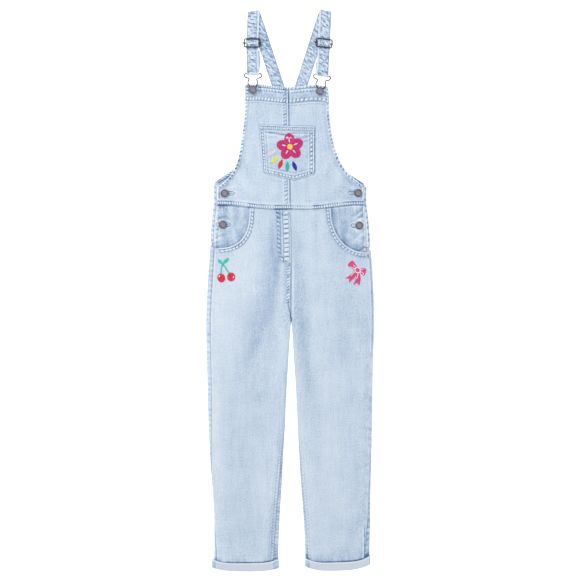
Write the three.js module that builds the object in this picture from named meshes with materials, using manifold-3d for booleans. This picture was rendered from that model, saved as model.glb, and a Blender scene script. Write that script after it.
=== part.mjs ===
/*
 * Child's bib overalls (dungarees) in washed denim, laid flat on their back.
 *
 * +X is the viewer's right, +Y runs from the hems up to the shoulder straps and +Z points up from the
 * surface they lie on. The origin is the middle of the garment's plan, on that surface. Millimetres.
 *
 * The back panels lie on the surface and the front panels lie on them. Each trouser leg is a flattened
 * tube: its front and back panels are stretches of the same outline, parted by the seams. Pieces that
 * lie on a panel take their points from that panel's height and are moved out by one wall and a gap.
 */
import * as THREE from 'three';
import { mergeVertices } from 'three/addons/utils/BufferGeometryUtils.js';
import Module from 'manifold-3d';

// ---------------------------------------------------------------- driving sizes
const CLOTH = 1.2; // wall of the denim
const GAP = 0.3; // left between pieces at a seam, or one lying on another
const LEG_SEAM = 0.6; // left between the front and back of a leg, whose seams turn round the edges
const LAYER = CLOTH + GAP; // height of one more piece laid on top
const STRAP_WIDTH = 24.4;
const STRAP_WALL = 1.8; // straps are denim sewn double
const HEM_WIDTH = 7; // stitched hems down the bib and back
const BAND_HEIGHT = 32; // turned top of the bib

const WAIST_Y = 161.2; // waist seam at the centre front
const WAIST_RISE = 8.8; // how much higher the seam is at the hips
const HIP_HEIGHT = 6.0; // thickness of the garment at the hips
const LEG_HEIGHT = 5.2; // and down the edges of the legs
const LEG_SAG = 1.5; // how much lower the middle of a leg lies than its edges
const BIB_HEIGHT = 5.2; // top of the bib above the surface, at its middle
const BACK_BIB_TOP = { y: 392, halfWidth: 33 };
const CROTCH = { top: -48, foot: -62 }; // the stretch where the inside leg seams close
const OPENING_TURN = 8; // the back panel turns off the front over this length at a side opening
const CUFF_LIFT = 1.5; // the legs rise this much to pass into the turn-ups

const HIP_UNDERLAP = 12; // the hip pieces reach this far under the front legs
const MOUTH_HEM = { from: 0.4, to: 8.6 }; // pocket mouth hems, out from the edge of the mouth
const WAIST_SEAM = { from: 0.6, to: 11.4 }; // felled seam, up from the waist line
const PLACKET_WIDTH = 42;
const SHANK_ROOM = 0.8; // left round a button's shank where it passes through cloth it isn't fixed to

const BUTTON = { head: 8, headThick: 2.6, shank: 2.5, tack: 4.5, hole: 2.8 };
const WIRE = 1.0; // radius of the clasp wire
const SLIDER = { width: 33.6, height: 18.6, wire: 2.4, barSpread: 8.1, frameZ: 5.6, barZ: 3.6 };

// The centre front seam of the trousers, from the waist to the crotch
const CENTRE_SEAM = [
  { y: 165, x: 1.2 },
  { y: 100, x: 3.6 },
  { y: 0, x: 3.4 },
  { y: -62, x: 2.8 },
];

// Outline of each leg: outer and inner edge, and how far the seams lie in from those edges
// because the back panel turns round on to the front.
const LEFT_LEG = {
  inward: 1,
  openingFoot: 84,
  foot: -553,
  rows: [
    { y: 172, outer: -153.5, inner: 2.65, outSeam: 8.5, inSeam: 0 },
    { y: 130, outer: -157.5, inner: 2.65, outSeam: 8.5, inSeam: 0 },
    { y: 84, outer: -160.0, inner: 2.65, outSeam: 8.5, inSeam: 0 },
    { y: 36, outer: -163.5, inner: 2.65, outSeam: 9, inSeam: 0 },
    { y: -20, outer: -166.5, inner: 2.65, outSeam: 8.5, inSeam: 0 },
    { y: -62, outer: -168.0, inner: 2.65, outSeam: 8, inSeam: 0 },
    { y: -72, outer: -168.0, inner: 0.9, outSeam: 8, inSeam: 0 },
    { y: -84, outer: -168.0, inner: 0.2, outSeam: 8, inSeam: 0 },
    { y: -104, outer: -167.5, inner: -1.2, outSeam: 8, inSeam: 0 },
    { y: -140, outer: -166.5, inner: -3.4, outSeam: 7.5, inSeam: 0 },
    { y: -204, outer: -165.0, inner: -7, outSeam: 7.5, inSeam: 0 },
    { y: -268, outer: -163.2, inner: -10, outSeam: 6.5, inSeam: 1.5 },
    { y: -332, outer: -160.0, inner: -13.6, outSeam: 3.5, inSeam: 4 },
    { y: -396, outer: -155.2, inner: -17, outSeam: 0.5, inSeam: 6.5 },
    { y: -460, outer: -151.6, inner: -20.8, outSeam: 0.5, inSeam: 8 },
    { y: -560, outer: -151.5, inner: -24.8, outSeam: 8, inSeam: 10 },
  ],
  cuff: {
    outer: -156,
    inner: -22,
    top: { outer: -538, inner: -534.5, bow: 8.5 },
    foot: { outer: -556.5, inner: -555, bow: 6 },
  },
  folds: [
    { x: -66, y: -130, lean: 0.06, width: 15, length: 90, rise: -1.0 },
    { x: -104, y: -110, lean: 0.02, width: 26, length: 150, rise: 0.6 },
    { x: -30, y: -190, lean: 0.05, width: 16, length: 140, rise: 0.6 },
  ],
};
const RIGHT_LEG = {
  inward: -1,
  openingFoot: 76,
  foot: -546,
  rows: [
    { y: 172, outer: 153.5, inner: 2.95, outSeam: 0, inSeam: 0 },
    { y: 130, outer: 158.5, inner: 2.95, outSeam: 0, inSeam: 0 },
    { y: 84, outer: 161.5, inner: 2.95, outSeam: 0, inSeam: 0 },
    { y: 36, outer: 165.0, inner: 2.95, outSeam: 0, inSeam: 0 },
    { y: -20, outer: 167.5, inner: 2.95, outSeam: 0, inSeam: 0 },
    { y: -62, outer: 168.0, inner: 2.95, outSeam: 0, inSeam: 0 },
    { y: -72, outer: 168.0, inner: 3.8, outSeam: 0, inSeam: 0 },
    { y: -84, outer: 168.0, inner: 4.6, outSeam: 0, inSeam: 0 },
    { y: -104, outer: 167.5, inner: 5.8, outSeam: 0, inSeam: 0 },
    { y: -140, outer: 166.0, inner: 7.8, outSeam: 0, inSeam: 0 },
    { y: -204, outer: 165.0, inner: 12, outSeam: 0, inSeam: 0 },
    { y: -268, outer: 164.0, inner: 15.0, outSeam: 0, inSeam: 0 },
    { y: -332, outer: 162.5, inner: 18.2, outSeam: 2, inSeam: 3 },
    { y: -396, outer: 161.2, inner: 22.2, outSeam: 3.5, inSeam: 3.5 },
    { y: -460, outer: 160.4, inner: 27.2, outSeam: 6, inSeam: 4.5 },
    { y: -560, outer: 157.5, inner: 32, outSeam: 13, inSeam: 6 },
  ],
  cuff: {
    outer: 160.5,
    inner: 29.5,
    top: { outer: -529.5, inner: -538, bow: 10 },
    foot: { outer: -550, inner: -554, bow: 8.5 },
  },
  folds: [
    { x: 36, y: -130, lean: -0.07, width: 14, length: 110, rise: -1.0 },
    { x: 62, y: -150, lean: -0.03, width: 22, length: 160, rise: 0.6 },
    { x: 126, y: -60, lean: 0.02, width: 26, length: 130, rise: 0.5 },
  ],
};

// Side edges of the bib, from its top corner down the armhole to the waist
const BIB_LEFT_EDGE = [
  { y: 411, x: -90.4 },
  { y: 380, x: -90 },
  { y: 340, x: -92 },
  { y: 300, x: -97.5 },
  { y: 260, x: -104.5 },
  { y: 240, x: -112.5 },
  { y: 224, x: -123.5 },
  { y: 212, x: -136.5 },
  { y: 205, x: -144.5 },
  { y: 194, x: -145.8 },
  { y: 168, x: -145.4 },
];
const BIB_RIGHT_EDGE = [
  { y: 406, x: 76.5 },
  { y: 380, x: 78 },
  { y: 340, x: 80 },
  { y: 300, x: 86 },
  { y: 260, x: 98.5 },
  { y: 240, x: 111 },
  { y: 226, x: 124 },
  { y: 214, x: 139 },
  { y: 208, x: 145 },
  { y: 196, x: 146.6 },
  { y: 168, x: 148 },
];
const BIB_SEAM = { top: -2.6, foot: 1.0 }; // x of the bib's centre seam at its two ends
// Top edge of the bib, from one corner to the other
const BIB_TOP = [
  { x: -91, y: 411 },
  { x: -60, y: 411 },
  { x: -34, y: 408 },
  { x: -3, y: 405 },
  { x: 26, y: 407.4 },
  { x: 46, y: 409.2 },
  { x: 65, y: 408 },
  { x: 77, y: 405.5 },
];
// Side edges of the back bib, from the waist up to where the straps are sewn on
const BACK_BIB_EDGE = [
  { y: 168, left: -150.5, right: 150.5 },
  { y: 212, left: -150.4, right: 149.4 },
  { y: 217, left: -150.2, right: 142 },
  { y: 231, left: -128.7, right: 119.5 },
  { y: 240, left: -115, right: 108 },
  { y: 268, left: -82, right: 79 },
  { y: 300, left: -57, right: 56 },
  { y: 340, left: -41, right: 40 },
  { y: BACK_BIB_TOP.y, left: -BACK_BIB_TOP.halfWidth, right: BACK_BIB_TOP.halfWidth },
];
// Side edge of the hip pieces, down the side openings
const HIP_EDGE = [
  { y: 172, left: -145.4, right: 148 },
  { y: 130, left: -148.5, right: 150 },
  { y: 70, left: -152, right: 152 },
];

const BIB_POCKET = {
  left: -61.2,
  right: 49.6,
  footLeft: -54.6,
  top: { left: 330, right: 326.3 },
  corner: { left: 236, right: 232 },
  point: { x: 8, y: 219.4 },
  rounding: 5,
  hemFrom: 0.9,
};
const MOCK_FLY = { width: 30, straight: 80, foot: 50 };

// What differs between the two sides of the garment
const LEFT = {
  name: 'left',
  side: -1,
  leg: LEFT_LEG,
  bibEdge: BIB_LEFT_EDGE,
  scoop: { edge: -153, width: 72, foot: 83.5, roundness: 2.8 },
  fold: { x: -72.6, y: 556.3 },
  frontLean: 1.7,
  backLean: 18.2,
  slider: { x: -75.6, y: 493.3, tilt: 0 },
  clasp: { tilt: -1 },
  returnTop: 479,
  placketTop: 210.5,
  bibButton: { x: -74.4, y: 399.6 },
  sideButtons: [
    { level: 'upper', x: -130.4, y: 193, holeFrom: -4, holeTo: 17 },
    { level: 'lower', x: -134.4, y: 130.6, holeFrom: -11, holeTo: 14 },
  ],
};
const RIGHT = {
  name: 'right',
  side: 1,
  leg: RIGHT_LEG,
  bibEdge: BIB_RIGHT_EDGE,
  scoop: { edge: 154, width: 72, foot: 75.6, roundness: 2.2 },
  fold: { x: 70.6, y: 557.75 },
  frontLean: 3.1,
  backLean: -17.9,
  slider: { x: 68, y: 493, tilt: -7.5 },
  clasp: { tilt: -9 },
  returnTop: 455,
  placketTop: 205.8,
  bibButton: { x: 59.4, y: 396.8 },
  sideButtons: [
    { level: 'upper', x: 136.0, y: 193.6, holeFrom: -20, holeTo: 4 },
    { level: 'lower', x: 138.4, y: 128.6, holeFrom: -16, holeTo: 4 },
  ],
};
const SIDES = [LEFT, RIGHT];

// ---------------------------------------------------------------- small mathematics
const { lerp, degToRad } = THREE.MathUtils;

function ramp(from, to, value) {
  const t = THREE.MathUtils.clamp((value - from) / (to - from), 0, 1);
  return t * t * (3 - 2 * t);
}

/** Reads a named column of a table at a place between its rows, on a smooth curve or a straight line. */
function read(rows, key, place, column, straight = false) {
  const last = rows.length - 1;
  const direction = Math.sign(rows[last][key] - rows[0][key]);
  const passed = (row) => (row[key] - place) * direction >= 0;
  const after = rows.findIndex(passed);
  if (after === 0) return rows[0][column];
  if (after < 0) return rows[last][column];
  const [a, b] = [rows[after - 1], rows[after]];
  const [before, next] = [rows[Math.max(after - 2, 0)], rows[Math.min(after + 1, last)]];
  const span = b[key] - a[key];
  const slopeA = ((b[column] - before[column]) / (b[key] - before[key])) * span;
  const slopeB = ((next[column] - a[column]) / (next[key] - a[key])) * span;
  const t = (place - a[key]) / span;
  if (straight) return lerp(a[column], b[column], t);
  const t2 = t * t;
  const t3 = t2 * t;
  const shareB = 3 * t2 - 2 * t3;
  return lerp(a[column], b[column], shareB) + (t3 - 2 * t2 + t) * slopeA + (t3 - t2) * slopeB;
}

const evenly = (count, from, to) => Array.from({ length: count + 1 }, (_, i) => lerp(from, to, i / count));

/**
 * Steps from start to end: a zone at each end in close steps, and wide steps between them.
 * The first and last step are short, so that the cut edge there stands square to the cloth.
 */
function zonedSteps(start, end, zones) {
  const way = Math.sign(end - start);
  const short = 0.25;
  const firstInner = start + way * zones.startLength;
  const lastInner = end - way * zones.endLength;
  return [
    start,
    ...evenly(zones.startSteps, start + way * short, firstInner),
    ...evenly(zones.middleSteps, firstInner, lastInner).slice(1),
    ...evenly(zones.endSteps, lastInner, end - way * short).slice(1),
    end,
  ];
}

// ---------------------------------------------------------------- solids from grids
function solidFromTriangles(positions, indices) {
  const geometry = new THREE.BufferGeometry();
  geometry.setAttribute('position', new THREE.Float32BufferAttribute(positions, 3));
  let volume = 0;
  const corner = (i) => new THREE.Vector3().fromArray(positions, 3 * i);
  for (let i = 0; i < indices.length; i += 3) {
    volume += corner(indices[i]).dot(corner(indices[i + 1]).cross(corner(indices[i + 2])));
  }
  geometry.setIndex(volume > 0 ? indices : indices.slice().reverse());
  return geometry;
}

/** A closed wall from a grid of points on its middle surface, thickened along the grid's own normals. */
function sheetSolid(grid, wall = CLOTH) {
  const rows = grid.length;
  const columns = grid[0].length;
  const at = (j, i) => grid[THREE.MathUtils.clamp(j, 0, rows - 1)][THREE.MathUtils.clamp(i, 0, columns - 1)];
  const upper = [];
  const lower = [];
  for (let j = 0; j < rows; j += 1) {
    for (let i = 0; i < columns; i += 1) {
      const across = at(j, i + 1).clone().sub(at(j, i - 1));
      const along = at(j + 1, i).clone().sub(at(j - 1, i));
      const normal = across.cross(along).normalize();
      upper.push(...at(j, i).clone().addScaledVector(normal, wall / 2).toArray());
      lower.push(...at(j, i).clone().addScaledVector(normal, -wall / 2).toArray());
    }
  }
  const under = rows * columns;
  const indices = [];
  const quad = (a, b, c, d) => indices.push(a, b, c, a, c, d);
  for (let j = 0; j < rows - 1; j += 1) {
    for (let i = 0; i < columns - 1; i += 1) {
      const a = j * columns + i;
      quad(a, a + 1, a + columns + 1, a + columns);
      quad(under + a, under + a + columns, under + a + columns + 1, under + a + 1);
    }
  }
  const border = [
    ...evenly(columns - 1, 0, columns - 1),
    ...evenly(rows - 1, 0, rows - 1).slice(1).map((j) => j * columns + columns - 1),
    ...evenly(columns - 1, columns - 1, 0).slice(1).map((i) => (rows - 1) * columns + i),
    ...evenly(rows - 1, rows - 1, 0).slice(1).map((j) => j * columns),
  ].map(Math.round);
  for (let k = 0; k < border.length - 1; k += 1) {
    quad(border[k + 1], border[k], under + border[k], under + border[k + 1]);
  }
  return solidFromTriangles([...upper, ...lower], indices);
}

/** A closed ring wall from rows of an outer and an inner loop of points. */
function ringSolid(rows) {
  const around = rows[0].outer.length;
  const loops = [...rows.map((row) => row.outer), ...rows.map((row) => row.inner).reverse()];
  const indices = [];
  loops.forEach((_, j) => {
    for (let i = 0; i < around; i += 1) {
      const a = j * around + i;
      const b = j * around + ((i + 1) % around);
      const c = ((j + 1) % loops.length) * around + ((i + 1) % around);
      const d = ((j + 1) % loops.length) * around + i;
      indices.push(a, b, c, a, c, d);
    }
  });
  return solidFromTriangles(loops.flat().flatMap((point) => point.toArray()), indices);
}

// ---------------------------------------------------------------- joining and cutting
const wasm = await Module();
wasm.setup();

function toManifold(geometry) {
  const bare = geometry.clone();
  bare.deleteAttribute('normal');
  bare.deleteAttribute('uv');
  const merged = mergeVertices(bare, 1e-4);
  const mesh = { numProp: 3, vertProperties: merged.attributes.position.array, triVerts: merged.index.array };
  return new wasm.Manifold(new wasm.Mesh(mesh));
}

function fromManifold(manifold) {
  const mesh = manifold.getMesh();
  const geometry = new THREE.BufferGeometry();
  geometry.setAttribute('position', new THREE.BufferAttribute(new Float32Array(mesh.vertProperties), 3));
  geometry.setIndex(new THREE.BufferAttribute(new Uint32Array(mesh.triVerts), 1));
  return geometry;
}

function cut(geometry, ...tools) {
  return fromManifold(tools.reduce((rest, tool) => rest.subtract(toManifold(tool)), toManifold(geometry)));
}

function join(geometry, ...others) {
  return fromManifold(others.reduce((whole, other) => whole.add(toManifold(other)), toManifold(geometry)));
}

/** A punch through every layer, of a plan shape given by its points. */
function punch(points) {
  const tool = new THREE.ExtrudeGeometry(new THREE.Shape(points), { depth: 40, bevelEnabled: false });
  return tool.translate(0, 0, -10);
}

function roundPunch(centre, radius) {
  const corners = 12;
  return punch(
    evenly(corners, 0, 2 * Math.PI)
      .slice(1)
      .map((a) => new THREE.Vector2(centre.x + radius * Math.cos(a), centre.y + radius * Math.sin(a))),
  );
}

function buttonholePunch(button) {
  const slit = 1.1;
  const plan = [
    [button.holeFrom, -slit],
    [button.holeTo, -slit],
    [button.holeTo + slit, 0],
    [button.holeTo, slit],
    [button.holeFrom, slit],
    [button.holeFrom - slit, 0],
  ].map(([x, y]) => new THREE.Vector2(button.x + x, button.y + y));
  return punch(plan);
}

// ---------------------------------------------------------------- heights and lines of the garment
const waistLine = (x) => WAIST_Y + WAIST_RISE * ramp(35, 135, Math.abs(x));
const backWaistLine = (x) => WAIST_Y + (WAIST_RISE * Math.abs(x)) / 150;
const bibTopLine = (x) => read(BIB_TOP, 'x', x, 'y');
const centreSeam = (y) => read(CENTRE_SEAM, 'y', y, 'x');
const bibSeam = (y) => lerp(BIB_SEAM.foot, BIB_SEAM.top, (y - WAIST_Y) / (bibTopLine(0) - WAIST_Y));
const garmentHeight = (y) => lerp(LEG_HEIGHT, HIP_HEIGHT, ramp(36, 84, y));
const legLift = (y) => CUFF_LIFT * ramp(-500, -528, y);

/** Middle of the bib's wall: it sinks on to the back bib at the pocket, and at the sides past its edges. */
function bibMiddle(x, y) {
  const pocketSag = 1.4 * ramp(235, 275, y) * ramp(378, 350, y) * (1 - ramp(40, 75, Math.abs(x)));
  const middle = lerp(HIP_HEIGHT, BIB_HEIGHT, ramp(170, 240, y)) - pocketSag;
  const hipDrop = 1.1 * ramp(85, 125, Math.abs(x));
  const sideDrop = 2.2 * ramp(30, 62, Math.abs(x));
  return middle - lerp(hipDrop, sideDrop, ramp(292, 345, y)) - CLOTH / 2;
}

/** How far the front of a leg sinks on to the back between its two edges. */
function legSag(way, half, y) {
  const between = ramp(5, 40, way) * ramp(5, 40, half - way);
  return LEG_SAG * between * ramp(45, -40, y) * ramp(-535, -480, y);
}

/** Long shallow folds down a leg, each a ridge or a trough. */
function foldHeight(leg, x, y) {
  const one = (fold) => {
    const across = (x - fold.x - fold.lean * (fold.y - y)) / fold.width;
    const along = (y - fold.y) / fold.length;
    return fold.rise * Math.exp(-across * across - along * along);
  };
  return leg.folds.reduce((sum, fold) => sum + one(fold), 0);
}

/** How far the inside leg seam is still open: 1 above the crotch, 0 below it. */
const crotchOpen = (y) => THREE.MathUtils.clamp((y - CROTCH.foot) / (CROTCH.top - CROTCH.foot), 0, 1);

/** The flattened tube of a leg at one height: edges and radius of the wall's middle line. */
function legTube(leg, y) {
  const radius = (garmentHeight(y) - CLOTH) / 2;
  const closing = (1 - crotchOpen(y)) * (Math.PI / 2);
  const seamInset = radius - GAP / 2 - (radius + CLOTH / 2) * Math.sin(closing);
  const openInner = centreSeam(y) + leg.inward * seamInset;
  const closedInner = read(leg.rows, 'y', y, 'inner') - leg.inward * (CLOTH / 2);
  const outer = read(leg.rows, 'y', y, 'outer') + leg.inward * (CLOTH / 2);
  const inner = crotchOpen(y) > 0 ? openInner : closedInner;
  const straight = Math.abs(inner - outer) - 2 * radius;
  return { outer, radius, straight, quarter: (radius * Math.PI) / 2, half: straight + radius * Math.PI };
}

/** A point of the tube, by its distance from the outer edge: over the top if positive, else under it. */
function tubePoint(leg, y, distance) {
  const tube = legTube(leg, y);
  const wrapped = distance < -tube.half ? distance + 2 * tube.half : distance;
  const way = Math.abs(wrapped);
  const overEdge = Math.min(way, tube.quarter) / tube.radius;
  const overInner = Math.max(way - tube.quarter - tube.straight, 0) / tube.radius;
  const flat = THREE.MathUtils.clamp(way - tube.quarter, 0, tube.straight);
  const inwards = tube.radius * (1 - Math.cos(overEdge)) + flat + tube.radius * Math.sin(overInner);
  const x = tube.outer + leg.inward * inwards;
  const rise = tube.radius * (Math.sin(overEdge) - 1 + Math.cos(overInner));
  const middle = legLift(y) + CLOTH / 2 + tube.radius;
  const onFlat = ramp(0, 12, way) * ramp(0, 12, tube.half - way);
  const sink = foldHeight(leg, x, y) * onFlat - legSag(way, tube.half, y);
  const across = way / tube.half;
  const waist = wrapped > 0 ? waistLine(x) : backWaistLine(x);
  const waistShift = (waist - WAIST_Y) * ramp(95, 155, y);
  const bow = leg.cuff.foot.bow * 4 * across * (1 - across) * ramp(-440, -540, y);
  const z = middle + Math.sign(wrapped) * rise + (wrapped > 0 ? sink : 0);
  return new THREE.Vector3(x, y + waistShift - bow, z);
}

/** Middle of the front leg's wall at a place on its flat top. */
const frontLegMiddle = (leg, x, y) => legLift(y) + garmentHeight(y) - CLOTH / 2 + foldHeight(leg, x, y);

// ---------------------------------------------------------------- trousers
const LEG_ROWS = [
  ...[WAIST_Y - GAP / 2, 128, 104, 92, 84, 76, 60, 24, -14],
  ...[CROTCH.top, -56, CROTCH.foot, -67, -72, -84, -104],
  ...[-140, -190, -235, -275, -315, -355, -395, -435, -480, -508, -530],
];

function frontLeg(leg) {
  const grid = [...LEG_ROWS, leg.foot].map((y) => {
    const tube = legTube(leg, y);
    const outSeam = read(leg.rows, 'y', y, 'outSeam') + LEG_SEAM / 2;
    const inSeam = lerp(read(leg.rows, 'y', y, 'inSeam') + LEG_SEAM / 2, tube.quarter, crotchOpen(y));
    const zone = (seam) => Math.max(tube.quarter - seam, 0) + 2;
    const zones = {
      startLength: zone(outSeam),
      endLength: zone(inSeam),
      startSteps: 3,
      middleSteps: 6,
      endSteps: 3,
    };
    return zonedSteps(outSeam, tube.half - inSeam, zones).map((distance) => tubePoint(leg, y, distance));
  });
  return sheetSolid(grid);
}

function backLeg(leg) {
  const grid = [...LEG_ROWS, leg.foot].map((y) => {
    const tube = legTube(leg, y);
    const opening = ramp(leg.openingFoot, leg.openingFoot + OPENING_TURN, y);
    const start = lerp(read(leg.rows, 'y', y, 'outSeam') - LEG_SEAM / 2, -tube.quarter, opening);
    const inSeam = lerp(read(leg.rows, 'y', y, 'inSeam') - LEG_SEAM / 2, -tube.quarter, crotchOpen(y));
    const zones = {
      startLength: start + tube.quarter + 2,
      endLength: inSeam + tube.quarter + 2,
      startSteps: 4,
      middleSteps: 3,
      endSteps: 4,
    };
    const steps = zonedSteps(start, -tube.half - inSeam, zones);
    return steps.map((distance) => tubePoint(leg, y, distance));
  });
  return sheetSolid(grid);
}

/** A point of a pocket mouth's curve moved out by a margin; turn is 0 at the waist and 1 at the side. */
function scoopPoint(side, turn, margin) {
  const { edge, width, foot, roundness } = side.scoop;
  const angle = (turn * Math.PI) / 2;
  const top = waistLine(edge - side.side * width);
  const x = edge - side.side * (width + margin) * Math.cos(angle) ** (2 / roundness);
  return new THREE.Vector2(x, top - (top - foot + margin) * Math.sin(angle) ** (2 / roundness));
}

/** What the pocket mouth takes away from the front leg: everything between its curve and the side. */
function scoopPunch(side) {
  const curve = evenly(14, 0, 1).map((turn) => scoopPoint(side, turn, 0));
  const outside = side.side * 190;
  const corner = new THREE.Vector2(outside, curve.at(-1).y);
  return punch([curve[0].clone().setY(190), ...curve, corner, corner.clone().setY(190)]);
}

function hipPiece(side) {
  const lastTurn = 0.93;
  const grid = evenly(9, 0, lastTurn).map((turn) => {
    const curve = scoopPoint(side, turn, HIP_UNDERLAP);
    return evenly(5, 0, 1).map((u) => {
      const x = lerp(read(HIP_EDGE, 'y', curve.y, side.name), curve.x, u);
      const y = curve.y + (turn === 0 ? waistLine(x) - GAP / 2 - curve.y : 0);
      return new THREE.Vector3(x, y, 2 * LAYER + CLOTH / 2);
    });
  });
  const lower = side.sideButtons[1];
  return cut(sheetSolid(grid), buttonholePunch(lower), roundPunch(lower, BUTTON.shank + SHANK_ROOM));
}

function pocketMouth(side) {
  const grid = evenly(14, 0.015, 0.955).map((turn) =>
    [MOUTH_HEM.from, MOUTH_HEM.to].map((margin) => {
      const { x, y } = scoopPoint(side, turn, margin);
      return new THREE.Vector3(x, y, frontLegMiddle(side.leg, x, y) + LAYER);
    }),
  );
  return sheetSolid(grid);
}

function mockFly() {
  const lastTurn = 0.94;
  const turnRows = evenly(5, 0, lastTurn).map((turn) => lerp(MOCK_FLY.straight, MOCK_FLY.foot, turn));
  const rows = [...evenly(4, WAIST_Y - 0.8, MOCK_FLY.straight).slice(0, -1), ...turnRows];
  const grid = rows.map((y) => {
    const turn = THREE.MathUtils.clamp((MOCK_FLY.straight - y) / (MOCK_FLY.straight - MOCK_FLY.foot), 0, 1);
    const right = centreSeam(y) - 1;
    const left = right - MOCK_FLY.width * Math.sqrt(1 - turn * turn);
    return evenly(3, left, right).map((x) => new THREE.Vector3(x, y, frontLegMiddle(LEFT_LEG, x, y) + LAYER));
  });
  return sheetSolid(grid);
}

function sidePlacket(side) {
  const foot = side.leg.openingFoot + OPENING_TURN + 1;
  const grid = [side.placketTop, 190, 172, 150, 128, 110, foot].map((y) => {
    const outer = read(side.leg.rows, 'y', y, 'outer') - side.side * 0.2;
    const inner = outer - side.side * PLACKET_WIDTH;
    return evenly(3, outer, inner).map((x) => new THREE.Vector3(x, y, LAYER + CLOTH / 2));
  });
  return cut(sheetSolid(grid), ...side.sideButtons.map((button) => roundPunch(button, BUTTON.hole)));
}

/** Loop round a flattened tube between two edges, along a bowed line across the leg. */
function tubeLoop(edges, line, height, bottom) {
  const radius = height / 2;
  const cornerSteps = 6;
  const flatSteps = 6;
  const [left, right] = [Math.min(edges.outer, edges.inner), Math.max(edges.outer, edges.inner)];
  const arcPoint = (x, a) => [x + radius * Math.cos(a), radius + radius * Math.sin(a)];
  const arc = (x, from) => evenly(cornerSteps, from, from + Math.PI).map((a) => arcPoint(x, a));
  const flat = (from, to, z) => evenly(flatSteps, from, to).slice(1, -1).map((x) => [x, z]);
  const loop = [
    ...arc(right - radius, -Math.PI / 2),
    ...flat(right - radius, left + radius, height),
    ...arc(left + radius, Math.PI / 2),
    ...flat(left + radius, right - radius, 0),
  ];
  return loop.map(([x, z]) => {
    const t = THREE.MathUtils.clamp((x - edges.outer) / (edges.inner - edges.outer), 0, 1);
    return new THREE.Vector3(x, lerp(line.outer, line.inner, t) - line.bow * 4 * t * (1 - t), bottom + z);
  });
}

function cuff(leg) {
  const { outer, inner, top, foot } = leg.cuff;
  const height = LEG_HEIGHT + 2 * LAYER;
  const toward = leg.inward * CLOTH;
  const outside = { outer, inner };
  const inside = { outer: outer + toward, inner: inner - toward };
  const rows = [top, foot].map((line) => ({
    outer: tubeLoop(outside, line, height, 0),
    inner: tubeLoop(inside, line, height - 2 * CLOTH, CLOTH),
  }));
  return ringSolid(rows);
}

// ---------------------------------------------------------------- bib
/** A point of the bib, by its share of the way out from the centre seam and the height of its side edge. */
function bibPoint(side, share, edgeY, lift) {
  const edgeX = read(side.bibEdge, 'y', edgeY, 'x');
  const climb = (edgeY - waistLine(edgeX)) / (bibTopLine(edgeX) - waistLine(edgeX));
  const seamY = lerp(WAIST_Y, bibTopLine(0), climb);
  const x = lerp(bibSeam(seamY) + (side.side * GAP) / 2, edgeX, share);
  const y = lerp(waistLine(x) + GAP / 2, bibTopLine(x), climb);
  return new THREE.Vector3(x, y, bibMiddle(x, y) + lift);
}

function frontBib(side) {
  const edgeTop = side.bibEdge[0].y;
  const foot = waistLine(side.bibEdge.at(-1).x);
  const rows = [foot, 184, 197, 206, 212, 220, 230, 244, 262, 284, 312, 345, 378, edgeTop];
  const grid = rows.map((edgeY) => evenly(8, 0, 1).map((share) => bibPoint(side, share, edgeY, 0)));
  const upper = side.sideButtons[0];
  return cut(
    sheetSolid(grid),
    roundPunch(side.bibButton, BUTTON.hole),
    buttonholePunch(upper),
    roundPunch(upper, BUTTON.shank + SHANK_ROOM),
  );
}

function bibTopBand(side) {
  const edgeTop = side.bibEdge[0].y;
  const grid = evenly(2, edgeTop - BAND_HEIGHT, edgeTop - 0.5).map((edgeY) =>
    evenly(8, 0.006, 0.994).map((share) => bibPoint(side, share, edgeY, LAYER)),
  );
  return cut(sheetSolid(grid), roundPunch(side.bibButton, BUTTON.hole));
}

function armholeHem(side) {
  const rows = [side.bibEdge[0].y - BAND_HEIGHT - 1, 345, 318, 292, 270, 254, 242, 232, 223, 215, 208];
  const grid = rows.map((y) => {
    const edge = (at) => new THREE.Vector2(read(side.bibEdge, 'y', at, 'x'), at);
    const along = edge(y + 2).sub(edge(y - 2)).normalize();
    const inwards = new THREE.Vector2(-side.side * along.y, side.side * along.x);
    return [0.4, HEM_WIDTH].map((inset) => {
      const point = edge(y).addScaledVector(inwards, inset);
      return new THREE.Vector3(point.x, point.y, bibMiddle(point.x, point.y) + LAYER);
    });
  });
  return sheetSolid(grid);
}

function waistBand() {
  const grid = [WAIST_SEAM.from, WAIST_SEAM.to].map((rise) => {
    const end = (edge, inset) => read(edge, 'y', WAIST_Y + WAIST_RISE + rise, 'x') + inset;
    return evenly(22, end(BIB_LEFT_EDGE, 0.6), end(BIB_RIGHT_EDGE, -0.6)).map((x) => {
      const y = waistLine(x) + rise;
      return new THREE.Vector3(x, y, bibMiddle(x, y) + LAYER);
    });
  });
  return sheetSolid(grid);
}

/** A point of the bib pocket, whose foot runs down to a point and whose lower corners are rounded. */
function pocketPoint(across, up, lift) {
  const { left, right, footLeft, top, corner, point, rounding } = BIB_POCKET;
  const cornerShare = Math.min(up / 0.08, 1);
  const roundIn = rounding * (1 - Math.sqrt(1 - (1 - cornerShare) ** 2));
  const leftX = lerp(footLeft, left, up) + roundIn;
  const x = lerp(leftX, right - roundIn, across);
  const [cornerX, cornerY] = x < point.x ? [left, corner.left] : [right, corner.right];
  const footY = lerp(point.y, cornerY, (x - point.x) / (cornerX - point.x));
  const topY = lerp(top.left, top.right, across);
  const y = lerp(footY, topY, up);
  return new THREE.Vector3(x, y, bibMiddle(x, y) + lift);
}

function bibPocket() {
  const grid = [0, 0.02, 0.045, 0.08, 0.3, 0.55, 0.8, 1].map((up) =>
    evenly(8, 0, 1).map((across) => pocketPoint(across, up, LAYER)),
  );
  return sheetSolid(grid);
}

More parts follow.
